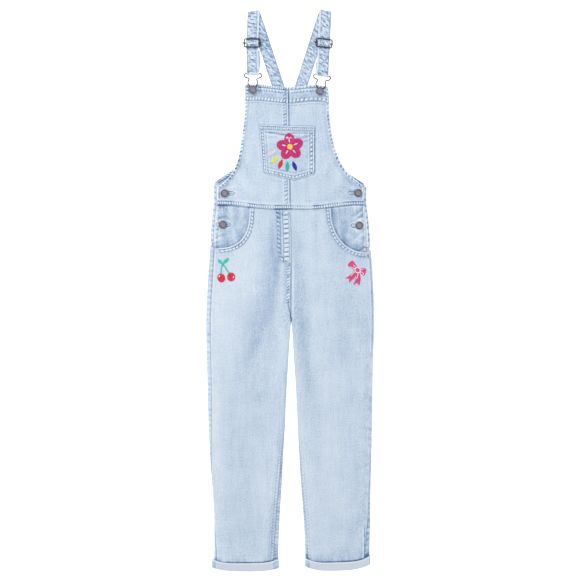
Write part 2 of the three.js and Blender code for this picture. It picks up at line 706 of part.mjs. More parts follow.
function bibPocketHem() {
  const grid = [BIB_POCKET.hemFrom, 0.995].map((up) =>
    evenly(8, 0.004, 0.996).map((across) => pocketPoint(across, up, 2 * LAYER)),
  );
  return sheetSolid(grid);
}

// ---------------------------------------------------------------- back above the waist
const backBibEdge = (name, y) => read(BACK_BIB_EDGE, 'y', y, name, y < 240);

function backBib() {
  const rows = [WAIST_Y, 190, 212, 217, 231, 240, 254, 268, 300, 340, BACK_BIB_TOP.y];
  const grid = rows.map((edgeY) => {
    const [left, right] = ['left', 'right'].map((name) => backBibEdge(name, edgeY));
    const fade = 1 - ramp(WAIST_Y, 212, edgeY);
    return evenly(8, left, right).map((x) => {
      const y = edgeY + (backWaistLine(x) - WAIST_Y + GAP) * fade;
      return new THREE.Vector3(x, y, CLOTH / 2);
    });
  });
  return sheetSolid(grid);
}

function backTopBand(side) {
  const foot = side.side < 0 ? 217 : 212;
  const rows = [foot + 0.4, 222, 231, 240, 250, 262, 276, 290];
  const grid = rows.map((y) => {
    const edge = (at) => new THREE.Vector2(backBibEdge(side.name, at), at);
    const along = edge(y + 2).sub(edge(Math.max(y - 2, foot))).normalize();
    const inwards = new THREE.Vector2(-side.side * along.y, side.side * along.x);
    return [0.2, HEM_WIDTH].map((inset) => {
      const point = edge(y).addScaledVector(inwards, inset);
      return new THREE.Vector3(point.x, point.y, LAYER + CLOTH / 2);
    });
  });
  return sheetSolid(grid);
}

// ---------------------------------------------------------------- straps
/** Unit vectors in the plan, turned from +X by an angle in degrees. */
function planDirection(degrees) {
  const angle = degToRad(degrees);
  return new THREE.Vector3(Math.cos(angle), Math.sin(angle), 0);
}

/** A strap from rows, each a centre point and the direction of its width in the plan. */
function strapSolid(rows, axisAngle) {
  const grid = rows.map(({ centre, widthAngle }) => {
    const skew = Math.cos(degToRad(widthAngle - axisAngle + 90));
    const half = planDirection(widthAngle).multiplyScalar(STRAP_WIDTH / 2 / Math.abs(skew));
    return [-1, 0, 1].map((end) => centre.clone().addScaledVector(half, end));
  });
  return sheetSolid(grid, STRAP_WALL);
}

// The shoulder fold: heights of its two layers, and how far the front stretch laps over to the back
const SHOULDER = { low: STRAP_WALL / 2, high: STRAP_WALL * 1.5 + GAP, lap: 1.5 };

/** Angles of a strap's two stretches and of the shoulder fold between them, in the plan. */
function strapAngles(side) {
  const front = 90 - side.frontLean;
  const back = -90 + side.backLean;
  return { front, back, fold: (front + back) / 2 };
}

function strapBack(side) {
  const { back, fold } = strapAngles(side);
  const start = new THREE.Vector3(side.fold.x, side.fold.y, 0);
  const along = planDirection(back);
  const heights = [
    { y: 540, z: SHOULDER.low },
    { y: 470, z: SHOULDER.low },
    { y: 406, z: SHOULDER.low },
    { y: 395, z: CLOTH + GAP + STRAP_WALL / 2 },
    { y: 380, z: CLOTH + GAP + STRAP_WALL / 2 },
  ];
  const rows = heights.map(({ y, z }) => ({
    centre: start.clone().addScaledVector(along, (y - start.y) / along.y).setZ(z),
    widthAngle: back + 90,
  }));
  const foldAxis = planDirection(fold + 90);
  const first = start.clone().addScaledVector(foldAxis, -SHOULDER.lap - GAP).setZ(SHOULDER.low);
  return strapSolid([{ centre: first, widthAngle: fold }, ...rows], back);
}

/** The front stretch: over the shoulder fold, through the slider and round the clasp's bar to its end. */
function strapFront(side) {
  const { front, fold } = strapAngles(side);
  const clasp = claspBar(side);
  const foldRadius = (SHOULDER.high - SHOULDER.low) / 2;
  const barRadius = WIRE + GAP + STRAP_WALL / 2;
  const centreX = (y) =>
    y > side.slider.y
      ? lerp(side.slider.x, side.fold.x, (y - side.slider.y) / (side.fold.y - side.slider.y))
      : lerp(clasp.x, side.slider.x, (y - clasp.y) / (side.slider.y - clasp.y));
  const row = (y, z, widthAngle, shift = 0) => ({
    centre: new THREE.Vector3(centreX(y) + shift, y, z),
    widthAngle,
  });
  const foldAxis = planDirection(fold + 90);
  const foldRows = evenly(6, -90, 90).map((a) => ({
    centre: new THREE.Vector3(side.fold.x, side.fold.y, (SHOULDER.high + SHOULDER.low) / 2)
      .addScaledVector(foldAxis, foldRadius * Math.cos(degToRad(a)))
      .add(new THREE.Vector3(0, 0, foldRadius * Math.sin(degToRad(a)))),
    widthAngle: fold,
  }));
  const foldFoot = new THREE.Vector3(side.fold.x, side.fold.y, SHOULDER.low);
  const lap = foldFoot.addScaledVector(foldAxis, -SHOULDER.lap);
  const weave = [
    { from: 16, z: 3.15 },
    { from: SLIDER.barSpread, z: 3.15 },
    { from: 5, z: 3.95 },
    { from: 2.6, z: 5.5 },
    { from: 0, z: 6.1 },
    { from: -2.6, z: 5.5 },
    { from: -5, z: 3.95 },
    { from: -SLIDER.barSpread, z: 3.2 },
    { from: -16, z: 3.3 },
  ].map(({ from, z }) => row(side.slider.y + from, z, side.slider.tilt));
  const barDirection = planDirection(side.clasp.tilt - 90);
  const barRows = evenly(8, 90, -90).map((a) => ({
    centre: new THREE.Vector3(clasp.x, clasp.y, clasp.z)
      .addScaledVector(barDirection, barRadius * Math.cos(degToRad(a)))
      .add(new THREE.Vector3(0, 0, barRadius * Math.sin(degToRad(a)))),
    widthAngle: side.clasp.tilt,
  }));
  const aside = -side.side * 2.6;
  const returnRows = [
    row(clasp.y + 8, SHOULDER.low, front - 90, aside * 0.4),
    row(clasp.y + 20, SHOULDER.low, front - 90, aside),
    row(side.returnTop, SHOULDER.low, front - 90, aside),
  ];
  const rows = [
    { centre: lap, widthAngle: fold },
    ...foldRows,
    row(side.fold.y - 14, SHOULDER.high + 0.05, front - 90),
    ...weave,
    row(clasp.y + 26, 4.3, front - 90),
    row(clasp.y + 8, clasp.z + barRadius - 0.05, side.clasp.tilt),
    ...barRows,
    ...returnRows,
  ];
  return strapSolid(rows, front);
}

// ---------------------------------------------------------------- metal
/** Half of the clasp's wire, from the middle of its bar round to the foot of its eye. */
const CLASP_HALF = [
  { x: 0.5, y: 0, z: 0 },
  { x: 7, y: 0, z: 0 },
  { x: 13.6, y: 0, z: 0 },
  { x: 16.4, y: -1.4, z: 0 },
  { x: 17, y: -4.6, z: 0.3 },
  { x: 15, y: -8, z: 0.8 },
  { x: 10.6, y: -9.2, z: 1.2 },
  { x: 7.4, y: -12, z: 1.8 },
  { x: 9.2, y: -15.6, z: 2.4 },
  { x: 9.8, y: -19.4, z: 2.9 },
  { x: 8.2, y: -23.4, z: 2.9 },
  { x: 5.4, y: -27, z: 2.9 },
  { x: 4, y: -31, z: 2.9 },
  { x: 3.5, y: -34.4, z: 2.9 },
  { x: 2, y: -36.4, z: 2.9 },
];
const CLASP_EYE = { y: -32.9, foot: -37, z: 2.9 };
const CLASP_BAR_Z = 3.1;

/** Middle of the clasp's bar, set so that its eye lies round the button. */
function claspBar(side) {
  const tilt = degToRad(side.clasp.tilt);
  return {
    x: side.bibButton.x + CLASP_EYE.y * Math.sin(tilt),
    y: side.bibButton.y - CLASP_EYE.y * Math.cos(tilt),
    z: CLASP_BAR_Z,
  };
}

function clasp(side) {
  const right = CLASP_HALF.map(({ x, y, z }) => new THREE.Vector3(x, y, z));
  const left = CLASP_HALF.map(({ x, y, z }) => new THREE.Vector3(-x, y, z)).reverse();
  const eyeFoot = new THREE.Vector3(0, CLASP_EYE.foot, CLASP_EYE.z);
  const path = new THREE.CatmullRomCurve3([...right, eyeFoot, ...left]);
  const section = new THREE.Shape();
  section.absarc(0, 0, WIRE, 0, 2 * Math.PI);
  return new THREE.ExtrudeGeometry(section, { extrudePath: path, steps: 54, curveSegments: 4 });
}

function roundedRectangle(target, width, height, radius) {
  const [w, h] = [width / 2, height / 2];
  target.moveTo(-w + radius, -h);
  target.lineTo(w - radius, -h);
  target.absarc(w - radius, -h + radius, radius, -Math.PI / 2, 0);
  target.lineTo(w, h - radius);
  target.absarc(w - radius, h - radius, radius, 0, Math.PI / 2);
  target.lineTo(-w + radius, h);
  target.absarc(-w + radius, h - radius, radius, Math.PI / 2, Math.PI);
  target.lineTo(-w, -h + radius);
  target.absarc(-w + radius, -h + radius, radius, Math.PI, 1.5 * Math.PI);
  return target;
}

function slider() {
  const { width, height, wire, frameZ, barZ } = SLIDER;
  const edge = 0.6;
  const frame = roundedRectangle(new THREE.Shape(), width, height, 3.6);
  frame.holes.push(roundedRectangle(new THREE.Path(), width - 2 * wire, height - 2 * wire, 1.4));
  const ring = new THREE.ExtrudeGeometry(frame, {
    depth: wire - 2 * edge,
    bevelThickness: edge,
    bevelSize: edge,
    bevelOffset: -edge,
    bevelSegments: 1,
    curveSegments: 3,
  });
  ring.translate(0, 0, frameZ - wire / 2 + edge);
  const bar = new THREE.CylinderGeometry(wire / 2, wire / 2, width + 1, 8);
  bar.rotateZ(Math.PI / 2).translate(0, 0, barZ);
  return join(ring, bar);
}

/** A shank button: a tack foot if it has one, the shank through the cloth, and a rimmed head with a dish. */
function button(footZ, headZ, hasTack) {
  const { head, headThick, shank, tack } = BUTTON;
  const top = headZ + headThick;
  const foot = hasTack
    ? [
        [0, footZ],
        [tack, footZ],
        [tack, footZ + 1],
        [shank, footZ + 1],
      ]
    : [
        [0, footZ],
        [shank, footZ],
      ];
  const profile = [
    ...foot,
    [shank, headZ],
    [head - 1, headZ],
    [head, headZ + 0.9],
    [head - 0.4, top - 0.4],
    [head - 1.4, top],
    [head - 2.4, top - 0.3],
    [head - 3.2, top - 0.7],
    [1.8, top - 0.5],
    [0, top - 0.45],
  ];
  const lathe = new THREE.LatheGeometry(profile.map(([r, z]) => new THREE.Vector2(r, z)), 16);
  return lathe.rotateX(Math.PI / 2);
}

// ---------------------------------------------------------------- materials
const denim = (colour) => new THREE.MeshStandardMaterial({ color: colour, roughness: 0.92, metalness: 0 });
const MATERIAL = {
  front: denim(0xc9d9e9),
  back: denim(0xbfd1e4),
  trim: denim(0xb7cadf),
  strap: denim(0xbccfe2),
  wrongSide: denim(0xd3dde6),
  hardware: new THREE.MeshStandardMaterial({ color: 0x66646c, roughness: 0.38, metalness: 0.9 }),
  button: new THREE.MeshStandardMaterial({ color: 0x7d7880, roughness: 0.45, metalness: 0.85 }),
};

// ---------------------------------------------------------------- the garment
const overalls = new THREE.Group();

function add(name, geometry, material) {
  const mesh = new THREE.Mesh(geometry, material);
  mesh.name = name;
  overalls.add(mesh);
  return mesh;
}

add('back_bib', backBib(), MATERIAL.back);
add('waist_band', waistBand(), MATERIAL.trim);
add('mock_fly', mockFly(), MATERIAL.trim);
add('bib_pocket', bibPocket(), MATERIAL.front);
add('bib_pocket_hem', bibPocketHem(), MATERIAL.trim);

for (const side of SIDES) {
  add(`back_leg_${side.name}`, backLeg(side.leg), MATERIAL.back);
  add(`back_top_band_${side.name}`, backTopBand(side), MATERIAL.trim);
  add(`side_placket_${side.name}`, sidePlacket(side), MATERIAL.back);
  add(`hip_piece_${side.name}`, hipPiece(side), MATERIAL.back);
  add(`front_leg_${side.name}`, cut(frontLeg(side.leg), scoopPunch(side)), MATERIAL.front);
  add(`pocket_mouth_${side.name}`, pocketMouth(side), MATERIAL.trim);
  add(`front_bib_${side.name}`, frontBib(side), MATERIAL.front);
  add(`bib_top_band_${side.name}`, bibTopBand(side), MATERIAL.front);
  add(`armhole_hem_${side.name}`, armholeHem(side), MATERIAL.trim);
  add(`cuff_${side.name}`, cuff(side.leg), MATERIAL.wrongSide);
  add(`strap_back_${side.name}`, strapBack(side), MATERIAL.strap);
  add(`strap_front_${side.name}`, strapFront(side), MATERIAL.strap);

  const sliderMesh = add(`slider_${side.name}`, slider(), MATERIAL.hardware);
  sliderMesh.position.set(side.slider.x, side.slider.y, 0);
  sliderMesh.rotation.z = degToRad(side.slider.tilt);

  const claspMesh = add(`clasp_${side.name}`, clasp(side), MATERIAL.hardware);
  const bar = claspBar(side);
  claspMesh.position.set(bar.x, bar.y, bar.z);
  claspMesh.rotation.z = degToRad(side.clasp.tilt);

  const bibTopZ = bibMiddle(side.bibButton.x, side.bibButton.y) + CLOTH / 2;
  const bibButtonFoot = bibTopZ - CLOTH - GAP - 1;
  const bibButton = button(bibButtonFoot, CLASP_BAR_Z + CLASP_EYE.z + WIRE + GAP, true);
  const bibButtonMesh = add(`bib_button_${side.name}`, bibButton, MATERIAL.button);
  bibButtonMesh.position.set(side.bibButton.x, side.bibButton.y, 0);

  for (const place of side.sideButtons) {
    const clothTop = place.level === 'upper' ? bibMiddle(place.x, place.y) + CLOTH / 2 : 3 * LAYER - GAP;
    const sideButton = button(LAYER, clothTop + 0.4, false);
    const sideButtonMesh = add(`side_button_${place.level}_${side.name}`, sideButton, MATERIAL.button);
    sideButtonMesh.position.set(place.x, place.y, 0);
  }
}

export default overalls;
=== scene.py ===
# %% [markdown]
# # Pale denim overalls, laid flat
# A child's bib overalls lie on their back and are seen from straight above. Every solid of the packed
# frame has its place and size already. This lesson dresses each one: fine cloth shells with seams that
# washing has puckered, thread, metal fittings and embroidery. Work is in millimetres until a mesh is made.

import bpy
import numpy as np
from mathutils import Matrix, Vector


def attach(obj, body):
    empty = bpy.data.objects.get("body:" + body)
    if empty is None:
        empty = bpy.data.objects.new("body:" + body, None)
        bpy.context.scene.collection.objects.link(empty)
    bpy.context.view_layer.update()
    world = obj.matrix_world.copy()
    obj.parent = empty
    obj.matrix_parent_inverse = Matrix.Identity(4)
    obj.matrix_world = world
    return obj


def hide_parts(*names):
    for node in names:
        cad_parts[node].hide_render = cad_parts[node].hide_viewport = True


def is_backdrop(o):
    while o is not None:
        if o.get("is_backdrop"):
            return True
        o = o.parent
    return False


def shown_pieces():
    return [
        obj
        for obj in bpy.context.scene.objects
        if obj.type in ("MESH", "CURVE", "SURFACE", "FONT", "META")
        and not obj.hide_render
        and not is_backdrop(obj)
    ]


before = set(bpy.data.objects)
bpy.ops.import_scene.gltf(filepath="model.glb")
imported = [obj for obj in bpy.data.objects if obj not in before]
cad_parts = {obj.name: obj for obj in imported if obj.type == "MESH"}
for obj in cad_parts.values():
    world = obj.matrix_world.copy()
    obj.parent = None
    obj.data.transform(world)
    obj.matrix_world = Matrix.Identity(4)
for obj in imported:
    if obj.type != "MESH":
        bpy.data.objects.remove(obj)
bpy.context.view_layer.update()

MM = 0.001
CLOTH = 1.2  # wall of the denim
GAP = 0.3  # between pieces at a seam, or one lying on another
LAYER = CLOTH + GAP
LEG_SEAM = 0.16  # narrower than between the solids, so that the seam closes
STRAP_WIDTH = 24.4
STRAP_WALL = 1.8
HEM_WIDTH = 7.0
PRESSED = 0.75  # how much a hem's sewn edge is pressed thinner
BAND_HEIGHT = 32.0
WAIST_Y, WAIST_RISE = 161.2, 8.8
HIP_HEIGHT, LEG_HEIGHT, BIB_HEIGHT = 6.0, 5.2, 5.2
HALF_HIP = 150.0
LEG_SAG = 1.5
CROTCH_TOP, CROTCH_FOOT = -48.0, -62.0
CUFF_LIFT = 1.5
OPENING_TURN = 8.0

# %% [markdown]
# ## Curves from short tables
# Patterns are drawn as a few measured points joined by a smooth curve. `read` does the same: a cubic
# runs through the rows of a small table with named columns. `ramp` blends from 0 to 1, and `lines` draws
# the soft lines that lie side by side along a seam.

# %% Reading tables


def table(names, *rows):
    """Rows of numbers as named columns."""
    return {name: np.array(column, float) for name, column in zip(names.split(), zip(*rows))}


def read(rows, key, place, column, straight=False):
    """The value of one column at a place between the rows."""
    order = np.argsort(rows[key])
    keys, values = rows[key][order], rows[column][order]
    place = np.clip(place, keys[0], keys[-1])
    if straight:
        return np.interp(place, keys, values)
    slopes = np.empty_like(values)
    slopes[1:-1] = (values[2:] - values[:-2]) / (keys[2:] - keys[:-2])
    slopes[0] = (values[1] - values[0]) / (keys[1] - keys[0])
    slopes[-1] = (values[-1] - values[-2]) / (keys[-1] - keys[-2])
    i = np.clip(np.searchsorted(keys, place) - 1, 0, len(keys) - 2)
    span = keys[i + 1] - keys[i]
    t = (place - keys[i]) / span
    ends = (2 * t**3 - 3 * t**2 + 1) * values[i] + (3 * t**2 - 2 * t**3) * values[i + 1]
    return ends + ((t**3 - 2 * t**2 + t) * slopes[i] + (t**3 - t**2) * slopes[i + 1]) * span


print("between two rows:", float(read(table("y x", (0, 1), (10, 2)), "y", 5, "x")))

# %% Blends and soft lines


def ramp(start, end, value):
    """A soft step: 0 up to the start, 1 from the end on."""
    t = np.clip((np.asarray(value, float) - start) / (end - start), 0, 1)
    return t * t * (3 - 2 * t)


def lerp(a, b, t):
    return a + (b - a) * t


def bump(distance, width):
    """One soft hill of height 1."""
    return np.exp(-((distance / width) ** 2))


def lines(distance, *marks):
    """Soft lines side by side, each with its place, its width and its strength."""
    return sum(strength * bump(distance - place, width) for place, width, strength in marks)


def points_at(x, y, z):
    return np.stack(np.broadcast_arrays(x, y, z), axis=-1)


def line_length(points):
    """Distance along a line of points, starting at 0."""
    return np.concatenate([[0], np.cumsum(np.linalg.norm(np.diff(points, axis=0), axis=-1))])


print("ramp sample:", round(float(ramp(35, 135, 90)), 3))

# %% [markdown]
# ## Uneven numbers and even steps
# Nothing on worn cloth repeats exactly. `waver` and `lumps` are smooth random numbers along a line and
# over a sheet, from a seed of their own, so that each run gives the same ones. The steps place the rows
# of a grid, with one row close to each edge of the cloth so that the edge can be rounded.

# %% Uneven numbers


def waver(place, size, seed):
    """Smooth random numbers from -1 to 1 along a line, with bumps of about that size."""
    knots = np.random.default_rng(seed).uniform(-1, 1, 512)
    p = np.asarray(place, float) / size + 100
    i = np.floor(p).astype(int)
    return lerp(knots[i % 512], knots[(i + 1) % 512], ramp(0, 1, p - i))


def lumps(x, y, size_x, size_y, seed):
    """Smooth random numbers from -1 to 1 over a sheet."""
    knots = np.random.default_rng(seed).uniform(-1, 1, (128, 128))
    p, q = np.asarray(x, float) / size_x + 64, np.asarray(y, float) / size_y + 64
    i, j = np.floor(p).astype(int), np.floor(q).astype(int)
    t, s = ramp(0, 1, p - i), ramp(0, 1, q - j)
    low = lerp(knots[i % 128, j % 128], knots[(i + 1) % 128, j % 128], t)
    high = lerp(knots[i % 128, (j + 1) % 128], knots[(i + 1) % 128, (j + 1) % 128], t)
    return lerp(low, high, s)


print("waver sample:", round(float(waver(3.0, 5.0, 1)), 3))

# %% Even steps


def steps(length, pitch, edge=0.4):
    """Places from 0 to 1 along a side."""
    count = max(int(round(length / pitch)), 2)
    inner = np.linspace(edge / length, 1 - edge / length, count)
    return np.concatenate([[0], inner, [1]])


def steps_between(knots, pitches, edge=0.4):
    """Places along a side that has a pitch of its own in each stretch."""
    parts = [
        np.linspace(a, b, max(int(round((b - a) / pitch)), 1), endpoint=False)
        for a, b, pitch in zip(knots[:-1], knots[1:], pitches)
    ]
    inner = np.concatenate(parts + [[knots[-1]]])
    inner[0] += edge
    inner[-1] -= edge
    return np.concatenate([[knots[0]], inner, [knots[-1]]])


print("steps over 10 mm:", len(steps(10, 1)))

# %% [markdown]
# ## Tables of the garment
# The same measures as the solids: each leg's two edges and where its seams lie, the armhole edges of the
# bib, its top edge, and the back bib. Each side of the garment is a small record of its own.

# %% Legs and turn-ups
SIGN = {"left": -1, "right": 1}  # which way is out from the middle
LEG_ROWS = {
    "left": table(
        "y outer inner out_seam in_seam",
        (172, -153.5, 2.65, 9.7, 0),
        (130, -157.5, 2.65, 9.7, 0),
        (84, -160.0, 2.65, 9.7, 0),
        (36, -163.5, 2.65, 10, 0),
        (-20, -166.5, 2.65, 9.7, 0),
        (-62, -168.0, 2.65, 9.2, 0),
        (-72, -168.0, 0.9, 9.2, 0),
        (-84, -168.0, 0.2, 9.2, 0),
        (-104, -167.5, -1.2, 9.0, 0),
        (-140, -166.5, -3.4, 8.8, 0),
        (-204, -165.0, -7, 8.6, 0),
        (-268, -163.2, -10, 7.2, 1.5),
        (-332, -160.0, -13.6, 3.5, 4),
        (-396, -155.2, -17, 0.5, 6.5),
        (-460, -151.6, -20.8, 0.5, 8),
        (-560, -151.5, -24.8, 8, 10),
    ),
    "right": table(
        "y outer inner out_seam in_seam",
        (172, 153.5, 2.95, 0, 0),
        (130, 158.5, 2.95, 0, 0),
        (84, 161.5, 2.95, 0, 0),
        (36, 165.0, 2.95, 0, 0),
        (-20, 167.5, 2.95, 0, 0),
        (-62, 168.0, 2.95, 0, 0),
        (-72, 168.0, 3.8, 0, 0),
        (-84, 168.0, 4.6, 0, 0),
        (-104, 167.5, 5.8, 0, 0),
        (-140, 166.0, 7.8, 0, 0),
        (-204, 165.0, 12, 0, 0),
        (-268, 164.0, 15.0, 0, 0),
        (-332, 162.5, 18.2, 2, 3),
        (-396, 161.2, 22.2, 3.5, 3.5),
        (-460, 160.4, 27.2, 6, 4.5),
        (-560, 157.5, 32, 13, 6),
    ),
}
LEG_FOOT = {"left": -553.0, "right": -546.0}
FOLDS = {
    "left": table(
        "x y lean width length rise",
        (-66, -130, 0.06, 15, 90, -1.0),
        (-104, -110, 0.02, 26, 150, 0.6),
        (-30, -190, 0.05, 16, 140, 0.6),
    ),
    "right": table(
        "x y lean width length rise",
        (36, -130, -0.07, 14, 110, -1.0),
        (62, -150, -0.03, 22, 160, 0.6),
        (126, -60, 0.02, 26, 130, 0.5),
    ),
}
# Top and foot of a cuff: y at the outer edge, y at the inner edge, sag in the middle
CUFF = {
    "left": {"outer": -156.0, "inner": -22.0, "top": (-536.5, -535.5, 9), "foot": (-553.5, -554.5, 7.5)},
    "right": {"outer": 160.5, "inner": 29.5, "top": (-529, -533.5, 12), "foot": (-547, -551, 11)},
}
BOW = {"top": 4, "foot": 3}  # the higher, the flatter a cuff's edge is in the middle
print("rows of a leg:", [len(rows["y"]) for rows in LEG_ROWS.values()])

# %% Bib and waist
BIB_EDGE = {
    "left": table(
        "y x",
        (411, -90.4), (380, -90), (340, -92), (300, -97.5), (260, -104.5), (240, -112.5),
        (224, -123.5), (212, -136.5), (205, -144.5), (194, -145.8), (168, -145.4),
    ),
    "right": table(
        "y x",
        (406, 76.5), (380, 78), (340, 80), (300, 86), (260, 98.5), (240, 111),
        (226, 124), (214, 139), (208, 145), (196, 146.6), (168, 148),
    ),
}
BIB_TOP = table(
    "x y", (-91, 411), (-60, 411), (-34, 408), (-3, 405), (26, 407.4), (46, 409.2), (65, 408), (77, 405.5)
)
BACK_BIB = table(
    "y left right",
    (168, -150.5, 150.5),
    (212, -150.4, 149.4),
    (217, -150.2, 142),
    (231, -128.7, 119.5),
    (240, -115, 108),
    (268, -82, 79),
    (300, -57, 56),
    (340, -41, 40),
    (392, -33, 33),
)
BACK_BEND = 240.0  # below this height the back bib's edge is straight from row to row
CENTRE_SEAM = table("y x", (165, 1.2), (100, 3.6), (0, 3.4), (-62, 2.8))
# How dark the waist seam's line and the needle line above it are, from one hip to the other. The
# seam's line is painted shadow under the felled band's edge.
WAIST_LINES = table(
    "x seam needle",
    (-148, 1.0, 0.3), (-118, 0.9, 0.7), (-112, 0.25, 0.15), (-86, 0.05, 0.0), (-82, 0.8, 0.7),
    (-72, 0.6, 0.6), (-68, 0.1, 0.5), (-54, 0.05, 0.4), (-48, 0.05, 0.05), (-34, 0.1, 0.1),
    (-30, 1.3, 0.7), (-14, 1.5, 0.4), (3, 1.5, 0.2), (7, 0.35, 0.0), (44, 0.3, 0.1),
    (48, 1.0, 1.2), (56, 1.0, 1.0), (60, 0.6, 0.6), (78, 0.45, 0.3), (82, 0.3, 0.1),
    (100, 0.35, 0.1), (108, 1.0, 0.6), (148, 1.1, 0.8),
)
print("bib edge, left and right:", [len(rows["y"]) for rows in BIB_EDGE.values()], "points")

# %% Side openings and fastenings
HIP_EDGE = table("y left right", (172, -145.4, 148), (130, -148.5, 150), (70, -152, 152))
SCOOP = {
    "left": {"edge": -153.0, "width": 72.0, "foot": 83.5, "roundness": 2.8},
    "right": {"edge": 154.0, "width": 72.0, "foot": 75.6, "roundness": 2.2},
}
OPENING_FOOT = {"left": 84.0, "right": 76.0}
PLACKET_TOP = {"left": 210.5, "right": 205.8}
BIB_BUTTON = {"left": (-74.4, 399.6), "right": (59.4, 396.8)}
# Centre of each side button, and the ends of its buttonhole from there
SIDE_BUTTONS = {
    ("upper", "left"): (-130.4, 193.0, -4, 15),
    ("lower", "left"): (-134.4, 130.6, -11, 12),
    ("upper", "right"): (136.0, 193.6, -16.5, 4),
    ("lower", "right"): (138.4, 128.6, -13, 4),
}
print("side buttons:", len(SIDE_BUTTONS))

# %% [markdown]
# ## Heights of the garment
# Each panel's height above the surface is one small formula. The bib rises over the back bib and the
# hips, each leg is a flattened tube whose front sinks a little between its two edges, and the folds are
# long shallow hills. Whatever lies on a panel asks the same formula, so it always sits right.

# %% Lines of the pattern


def waist_line(x):
    return WAIST_Y + WAIST_RISE * ramp(35, 135, np.abs(x))


def back_waist_line(x):
    return WAIST_Y + WAIST_RISE * np.abs(x) / HALF_HIP


def bib_top_line(x):
    return read(BIB_TOP, "x", x, "y")


def centre_seam(y):
    return read(CENTRE_SEAM, "y", y, "x")


def bib_seam(y):
    return lerp(1.0, -2.6, (y - WAIST_Y) / (405.2 - WAIST_Y))


def cuff_edge(side, x, which):
    """Height in the plan of a cuff's top or foot edge, which sags in the middle."""
    cuff = CUFF[side]
    first, second, sag = cuff[which]
    t = np.clip((x - cuff["outer"]) / (cuff["inner"] - cuff["outer"]), 0, 1)
    return lerp(first, second, t) - sag * (1 - np.abs(2 * t - 1) ** BOW[which])


print("waist at the hips:", round(float(waist_line(140.0)), 1))

# %% Heights above the surface


def garment_height(y):
    """How high the legs and the hips stand above the surface."""
    return lerp(LEG_HEIGHT, HIP_HEIGHT, ramp(36, 84, y))


def leg_lift(y):
    return CUFF_LIFT * ramp(-500, -528, y)


def bib_middle(x, y):
    """Middle of the bib's wall."""
    pocket_sag = 1.4 * ramp(235, 275, y) * ramp(378, 350, y) * (1 - ramp(40, 75, np.abs(x)))
    middle = lerp(HIP_HEIGHT, BIB_HEIGHT, ramp(170, 240, y)) - pocket_sag
    hip_drop = 1.1 * ramp(85, 125, np.abs(x))
    side_drop = 2.2 * ramp(30, 62, np.abs(x))
    return middle - lerp(hip_drop, side_drop, ramp(292, 345, y)) - CLOTH / 2


def fold_height(side, x, y):
    """Rise or dip of the long folds of a leg."""
    total = 0
    for fold_x, fold_y, lean, width, length, rise in zip(*FOLDS[side].values()):
        total = total + rise * bump(x - fold_x - lean * (fold_y - y), width) * bump(y - fold_y, length)
    return total


def front_leg_middle(side, x, y):
    """Middle of the front leg's wall, on its flat top above the thigh."""
    return leg_lift(y) + garment_height(y) - CLOTH / 2 + fold_height(side, x, y)


print("bib wall at the pocket:", round(float(bib_middle(0, 280)), 2), "mm up")

# %% A leg as a flattened tube


def leg_tube(side, y):
    """Edges and radius of a leg's flattened tube, on the middle of its wall."""
    inward = -SIGN[side]
    radius = (garment_height(y) - CLOTH) / 2
    opened = np.clip((y - CROTCH_FOOT) / (CROTCH_TOP - CROTCH_FOOT), 0, 1)
    turn = (1 - opened) * np.pi / 2
    at_crotch = centre_seam(y) + inward * (radius - GAP / 2 - (radius + CLOTH / 2) * np.sin(turn))
    closed = read(LEG_ROWS[side], "y", y, "inner") - inward * CLOTH / 2
    outer = read(LEG_ROWS[side], "y", y, "outer") + inward * CLOTH / 2
    inner = np.where(opened > 0, at_crotch, closed)
    straight = np.abs(inner - outer) - 2 * radius
    quarter = radius * np.pi / 2
    return {
        "outer": outer,
        "radius": radius,
        "straight": straight,
        "quarter": quarter,
        "half": straight + 2 * quarter,
        "opened": opened,
    }


def leg_point(side, y, distance, extra=0.0):
    """A point of the tube by its distance from the outer edge: over the top if positive, else under."""
    tube = leg_tube(side, y)
    radius, half = tube["radius"], tube["half"]
    wrapped = np.where(distance < -half, distance + 2 * half, distance)
    way = np.abs(wrapped)
    over_edge = np.minimum(way, tube["quarter"]) / radius
    over_inner = np.maximum(way - tube["quarter"] - tube["straight"], 0) / radius
    flat = np.clip(way - tube["quarter"], 0, tube["straight"])
    inwards = radius * (1 - np.cos(over_edge)) + flat + radius * np.sin(over_inner)
    x = tube["outer"] - SIGN[side] * inwards
    rise = radius * (np.sin(over_edge) - 1 + np.cos(over_inner))
    sag = LEG_SAG * ramp(5, 40, way) * ramp(5, 40, half - way) * ramp(45, -40, y) * ramp(-535, -480, y)
    sink = fold_height(side, x, y) * ramp(0, 12, way) * ramp(0, 12, half - way) - sag
    top = wrapped > 0
    across = way / half
    shift = (np.where(top, waist_line(x), back_waist_line(x)) - WAIST_Y) * ramp(95, 155, y)
    bow = CUFF[side]["foot"][2] * 4 * across * (1 - across) * ramp(-440, -540, y)
    z = leg_lift(y) + CLOTH / 2 + radius + np.sign(wrapped) * rise + np.where(top, sink, 0) + extra
    return points_at(x, y + shift - bow, z)


print("left thigh:", round(float(leg_tube("left", -100.0)["straight"]), 1), "mm across the flat")

# %% [markdown]
# ## Shader nodes
# A finish is a small tree of nodes. These helpers make the nodes that every finish here needs: sums and
# products, noise that is stretched and turned with the cloth, and a ramp from dark to pale.

# %% Node helpers


def maths(tree, operation, a, b=None, c=None):
    """A Math node; each operand is a number or a socket."""
    node = tree.nodes.new("ShaderNodeMath")
    node.operation = operation
    for i, value in enumerate((a, b, c)):
        if value is None:
            continue
        if isinstance(value, (int, float)):
            node.inputs[i].default_value = value
        else:
            tree.links.new(value, node.inputs[i])
    return node.outputs[0]


def weighted(tree, first, *terms):
    """A socket plus other sockets, each times its weight."""
    total = first
    for value, weight in terms:
        total = maths(tree, "MULTIPLY_ADD", value, weight, total)
    return total


